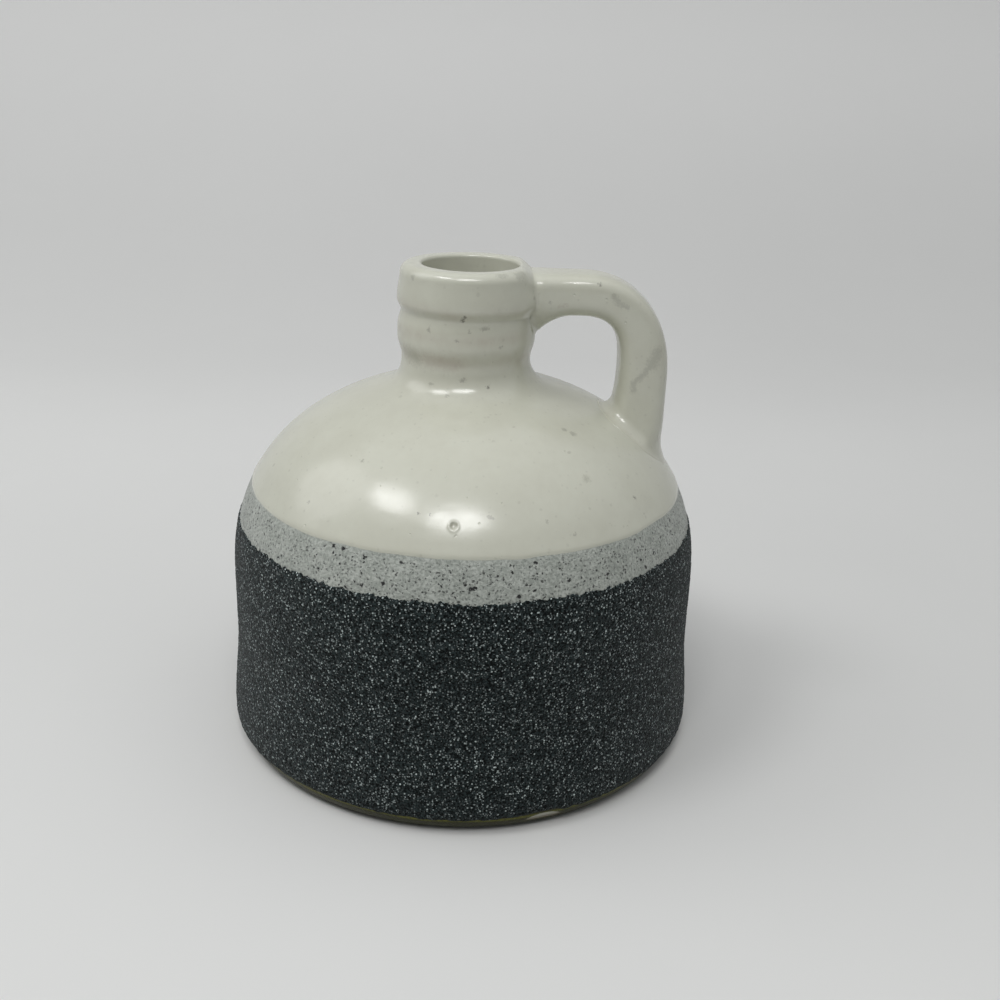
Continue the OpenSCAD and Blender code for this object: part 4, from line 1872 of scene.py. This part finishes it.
    def core(self) -> bpy.types.Object:
        """Lofts the clay strap inside the glaze, down to the pot's clay at both ends.

        Returns:
            The dressed piece.
        """
        rows = self.strap.seated(self.strap.clay, self.section.cream_t)
        first, last = (tuple(float(v) for v in rows[k].mean(0)) for k in (0, -1))
        piece = Grid("strap_clay", rows).poled(first, last)
        return on_root(piece, ClayFinish("handle_clay"), "fired_clay", "loop_handle")

    def glaze(self) -> bpy.types.Object:
        """Lofts the glaze, flared on to the neck and the shoulder.

        Returns:
            The dressed piece.
        """
        rows = self.strap
        slide = rows.way - (rows.way * rows.pot).sum(-1, keepdims=True) * rows.pot
        wave = self.glaze_wave.at(self.angles[None], rows.places)
        outer = rows.skin + rows.pushes[..., None] * slide + wave[..., None] * rows.way
        outer, inner = rows.seated(outer, self.glaze_seat), rows.seated(rows.clay, self.glaze_back_seat)
        grid = Grid.shell("handle_glaze_coat", outer, inner)
        near = rows.pushes / max(self.foot_fillet)
        grid.paint("thin", self.thin_part * np.pad(near, ((1, 1), (0, 0)), "edge"))
        finish = CreamFinish("handle_glaze", marks=self.marks, where=self.strap_point)
        return on_root(grid.ring(), finish, "cream_glaze", "handle_glaze")


@dataclass(frozen=True)
class Window:
    """One soft window light, hung a metre from the jug: its direction, size and brightness."""

    name: str
    way: Point
    wide: float
    high: float
    level: float

    def hang(self, aim: Vector) -> None:
        """Hangs the light so that it faces a point.

        Args:
            aim: The point, in metres.
        """
        lamp = bpy.data.lights.new(self.name, "AREA")
        lamp.shape, lamp.size, lamp.size_y = "ELLIPSE", self.wide, self.high
        lamp.energy = self.level * np.pi**2 / 4 * self.wide * self.high
        hung = placed(self.name, lamp)
        hung.location = aim + Vector(self.way).normalized()
        hung.rotation_euler = (aim - hung.location).to_track_quat("-Z", "Y").to_euler()


@dataclass
class Studio:
    """Plain pale stage, soft light and the camera at the photograph's place, in metres."""

    floor_half_w: float = 2.2
    floor_front: float = -1.8
    cove_start: float = 0.42
    cove_r: float = 0.55
    wall_top: float = 1.6
    floor_rows: int = 20
    cove_rows: int = 33
    paper_columns: int = 9
    overhead_level: float = 0.57
    room_level: float = 0.5
    backdrop_level: float = 0.58
    sky_tint: Colour = (0.985, 1.0, 1.0)
    aim: Point = (0.0, 0.0, 0.08)
    eye: Point = (0.0, -0.335176, 0.201606)
    right: Point = (0.99932892, -0.01932472, 0.03111691)
    down: Point = (0.02194299, -0.36437312, -0.93099449)
    forward: Point = (0.02932938, 0.93105251, -0.36370455)
    lens_mm: float = 42.1465
    sensor_mm: float = 36.0
    clip_start: float = 0.01
    windows: tuple[Window, ...] = (
        Window("side_window", (-0.48, -0.27, 0.83), 0.39, 0.24, 7.0),
        Window("side_glow", (-0.80, 0.10, 0.60), 0.62, 0.62, 1.1),
        Window("front_window", (-0.05, -0.55, 0.83), 0.47, 0.27, 8.4),
    )

    def stage(self) -> None:
        """Sweeps the paper: level floor, cove and wall in one sheet."""
        a = np.linspace(0, QUARTER, self.cove_rows)[1:]
        flat = pairs(np.linspace(self.floor_front, self.cove_start, self.floor_rows), 0.0)
        cove = pairs(self.cove_start + self.cove_r * np.sin(a), self.cove_r * (1 - np.cos(a)))
        wall = np.array([[self.cove_start + self.cove_r, self.wall_top]])
        line, wide = np.concatenate([flat, cove, wall]), self.paper_columns
        across = np.linspace(-self.floor_half_w, self.floor_half_w, wide)
        points = [(float(x), float(y), float(z)) for y, z in line for x in across]
        faces = [
            [i * wide + k, i * wide + k + 1, (i + 1) * wide + k + 1, (i + 1) * wide + k]
            for i in range(len(line) - 1)
            for k in range(wide - 1)
        ]
        mesh = bpy.data.meshes.new("paper_sweep")
        mesh.from_pydata(points, [], faces)
        mesh.shade_smooth()
        mesh.materials.append(PaperFinish("paper").material())
        sheet = placed("paper_sweep", mesh)
        LOG.info("%s: stage", sheet.name)

    def light(self) -> None:
        """Hangs the window lights and sets the room's light, strongest overhead and behind."""
        for window in self.windows:
            window.hang(Vector(self.aim))
        world = bpy.data.worlds.new("studio")
        bpy.context.scene.world = world
        world.use_nodes = True
        bench = NodeBench(world.node_tree)
        way = bench.node("ShaderNodeSeparateXYZ")
        bench.feed(way.inputs[0], bench.node("ShaderNodeTexCoord").outputs["Generated"])
        above = bench.math("POWER", bench.math("MAXIMUM", way.outputs["Z"], 0.0), 2.0)
        behind = bench.scaled(way.outputs["Y"], self.room_level / 2, self.room_level / 2)
        level = bench.scaled(above, self.overhead_level, behind)
        path = bench.node("ShaderNodeLightPath").outputs["Is Camera Ray"]
        sky = world.node_tree.nodes["Background"]
        bench.feed(sky.inputs["Color"], self.sky_tint)
        bench.feed(sky.inputs["Strength"], bench.span(path, 0.0, 1.0, level, self.backdrop_level))

    def camera(self) -> None:
        """Puts the camera where the photograph was taken from."""
        data = bpy.data.cameras.new("photo_camera")
        data.sensor_width, data.lens, data.clip_start = self.sensor_mm, self.lens_mm, self.clip_start
        seat = placed("photo_camera", data)
        axes = [Vector(self.right), -Vector(self.down), -Vector(self.forward)]
        turn = Matrix([[axis[i] for axis in axes] for i in range(3)])
        seat.matrix_world = Matrix.Translation(Vector(self.eye)) @ turn.to_4x4()
        bpy.context.scene.camera = seat
        bpy.context.scene.view_settings.view_transform = "Standard"


CREAM_MARKS = (
    Mark(((-92.8, 86.0),), 0.8, 0.5, Stain.OLIVE),
    Mark(((-52, 93.0),), 1.0, 0.9, Stain.OLIVE),
    Mark(((-38.5, 86.2),), 0.4, 0.3, Stain.IRON),
    Mark(((-102, 88.0),), 0.35, 0.25, Stain.IRON),
    Mark(((-99, 88.0),), 0.3, 0.25, Stain.IRON),
    Mark(((-84, 88.0), (-83, 87.6)), 0.4, 0.3),
    Mark(((-93.5, 132.0), (-95, 130.8)), 0.5, 0.4, Stain.IRON),
    Mark(((-122, 127.0),), 0.6, 0.4),
    Mark(((-97, 125.0),), 0.5, 0.35),
    Mark(((-88, 127.5),), 0.4, 0.35),
    Mark(((-78, 128.3), (-74, 128.3)), 0.5, 0.5),
    Mark(((-61, 123.0),), 0.5, 0.35),
    Mark(((-71.5, 111.6),), 0.45, 0.3, Stain.IRON),
    Mark(((-93, 113.4), (-91, 113.6)), 0.5, 0.4),
    Mark(((-120, 111.6),), 0.5, 0.4),
    Mark(((-105, 109.2),), 0.5, 0.35),
    Mark(((-45, 102.0),), 0.6, 0.5),
    Mark(((-43, 101.0),), 0.8, 0.6),
    Mark(((-125, 96.0),), 0.45, 0.3),
    Mark(((-134.5, 85.2),), 0.4, 0.3),
    Mark(((-62.5, 82.5),), 0.4, 0.3),
    Mark(((-69, 86.0),), 0.4, 0.3),
    Mark(((-142, 140.6),), 0.7, 0.5, Stain.SCUFF),
    # Darker patch on the rim over its pressed dip beside the handle
    Mark(((-47, 141.9), (-42, 142.2)), 1.3, 0.8, Stain.SCUFF),
    Mark(((-66, 142.2), (-60, 142.2)), 0.7, 0.5, Stain.SCUFF),
    Mark(((-158, 119.5), (-138, 118.5)), 2.2, 2.0, Stain.OLIVE),
    Mark(((-124, 118.5), (-100, 118.0)), 1.8, 1.6, Stain.BLUSH),
)

HANDLE_MARKS = (
    Mark(((152, 43.5), (166, 46.5)), 1.5, 1.2, Stain.SCUFF),
    Mark(((166, 46.5), (189, 50.0), (207, 52.4)), 0.8, 0.6, Stain.SCUFF),
    Mark(((207, 52.4), (203, 54.2)), 0.9, 0.7, Stain.SCUFF),
    Mark(((163, 24.5), (172, 26.3)), 0.8, 0.5, Stain.SCUFF),
    Mark(((172, 26.3), (169, 29.0)), 0.6, 0.5, Stain.SCUFF),
    Mark(((144, 20.5),), 0.5, 0.35, Stain.IRON),
    Mark(((190, 7.0),), 0.4, 0.4),
    Mark(((200, 10.0), (198, 12.0)), 0.5, 0.5, Stain.BLUSH),
)

# Larger pits on the band, coloured near-black as painted shade inside them
BAND_MARKS = (
    Mark(((-122, 78.0),), 0.42, 0.14),
    Mark(((-119.4, 77.9), (-118.8, 78.1)), 0.4, 0.14),
    Mark(((-113.3, 77.1),), 0.45, 0.14),
    Mark(((-88.6, 72.2), (-87.6, 72.3)), 0.4, 0.14),
    Mark(((-65.8, 72.4),), 0.4, 0.14),
    Mark(((-44.8, 77.4),), 0.4, 0.14),
)


def main() -> None:
    """Builds the jug's pieces, the stage, the light and the camera."""
    logging.basicConfig(level=logging.INFO, format="%(name)s: %(message)s")
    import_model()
    studio = Studio()
    studio.camera()
    studio.light()
    studio.stage()
    section = JugSection()
    body = ThrownBody(section)
    cream = CreamCoat(section, marks=CREAM_MARKS)
    handle = PulledHandle(section, marks=HANDLE_MARKS)
    body.body()
    body.collar()
    handle.core()
    MouthLiner(section).build()
    cream.build()
    handle.glaze()
    SpeckledSlip(section, cream, marks=BAND_MARKS).build()
    SandedSlip(section, body).build()


if __name__ == "__main__":
    main()
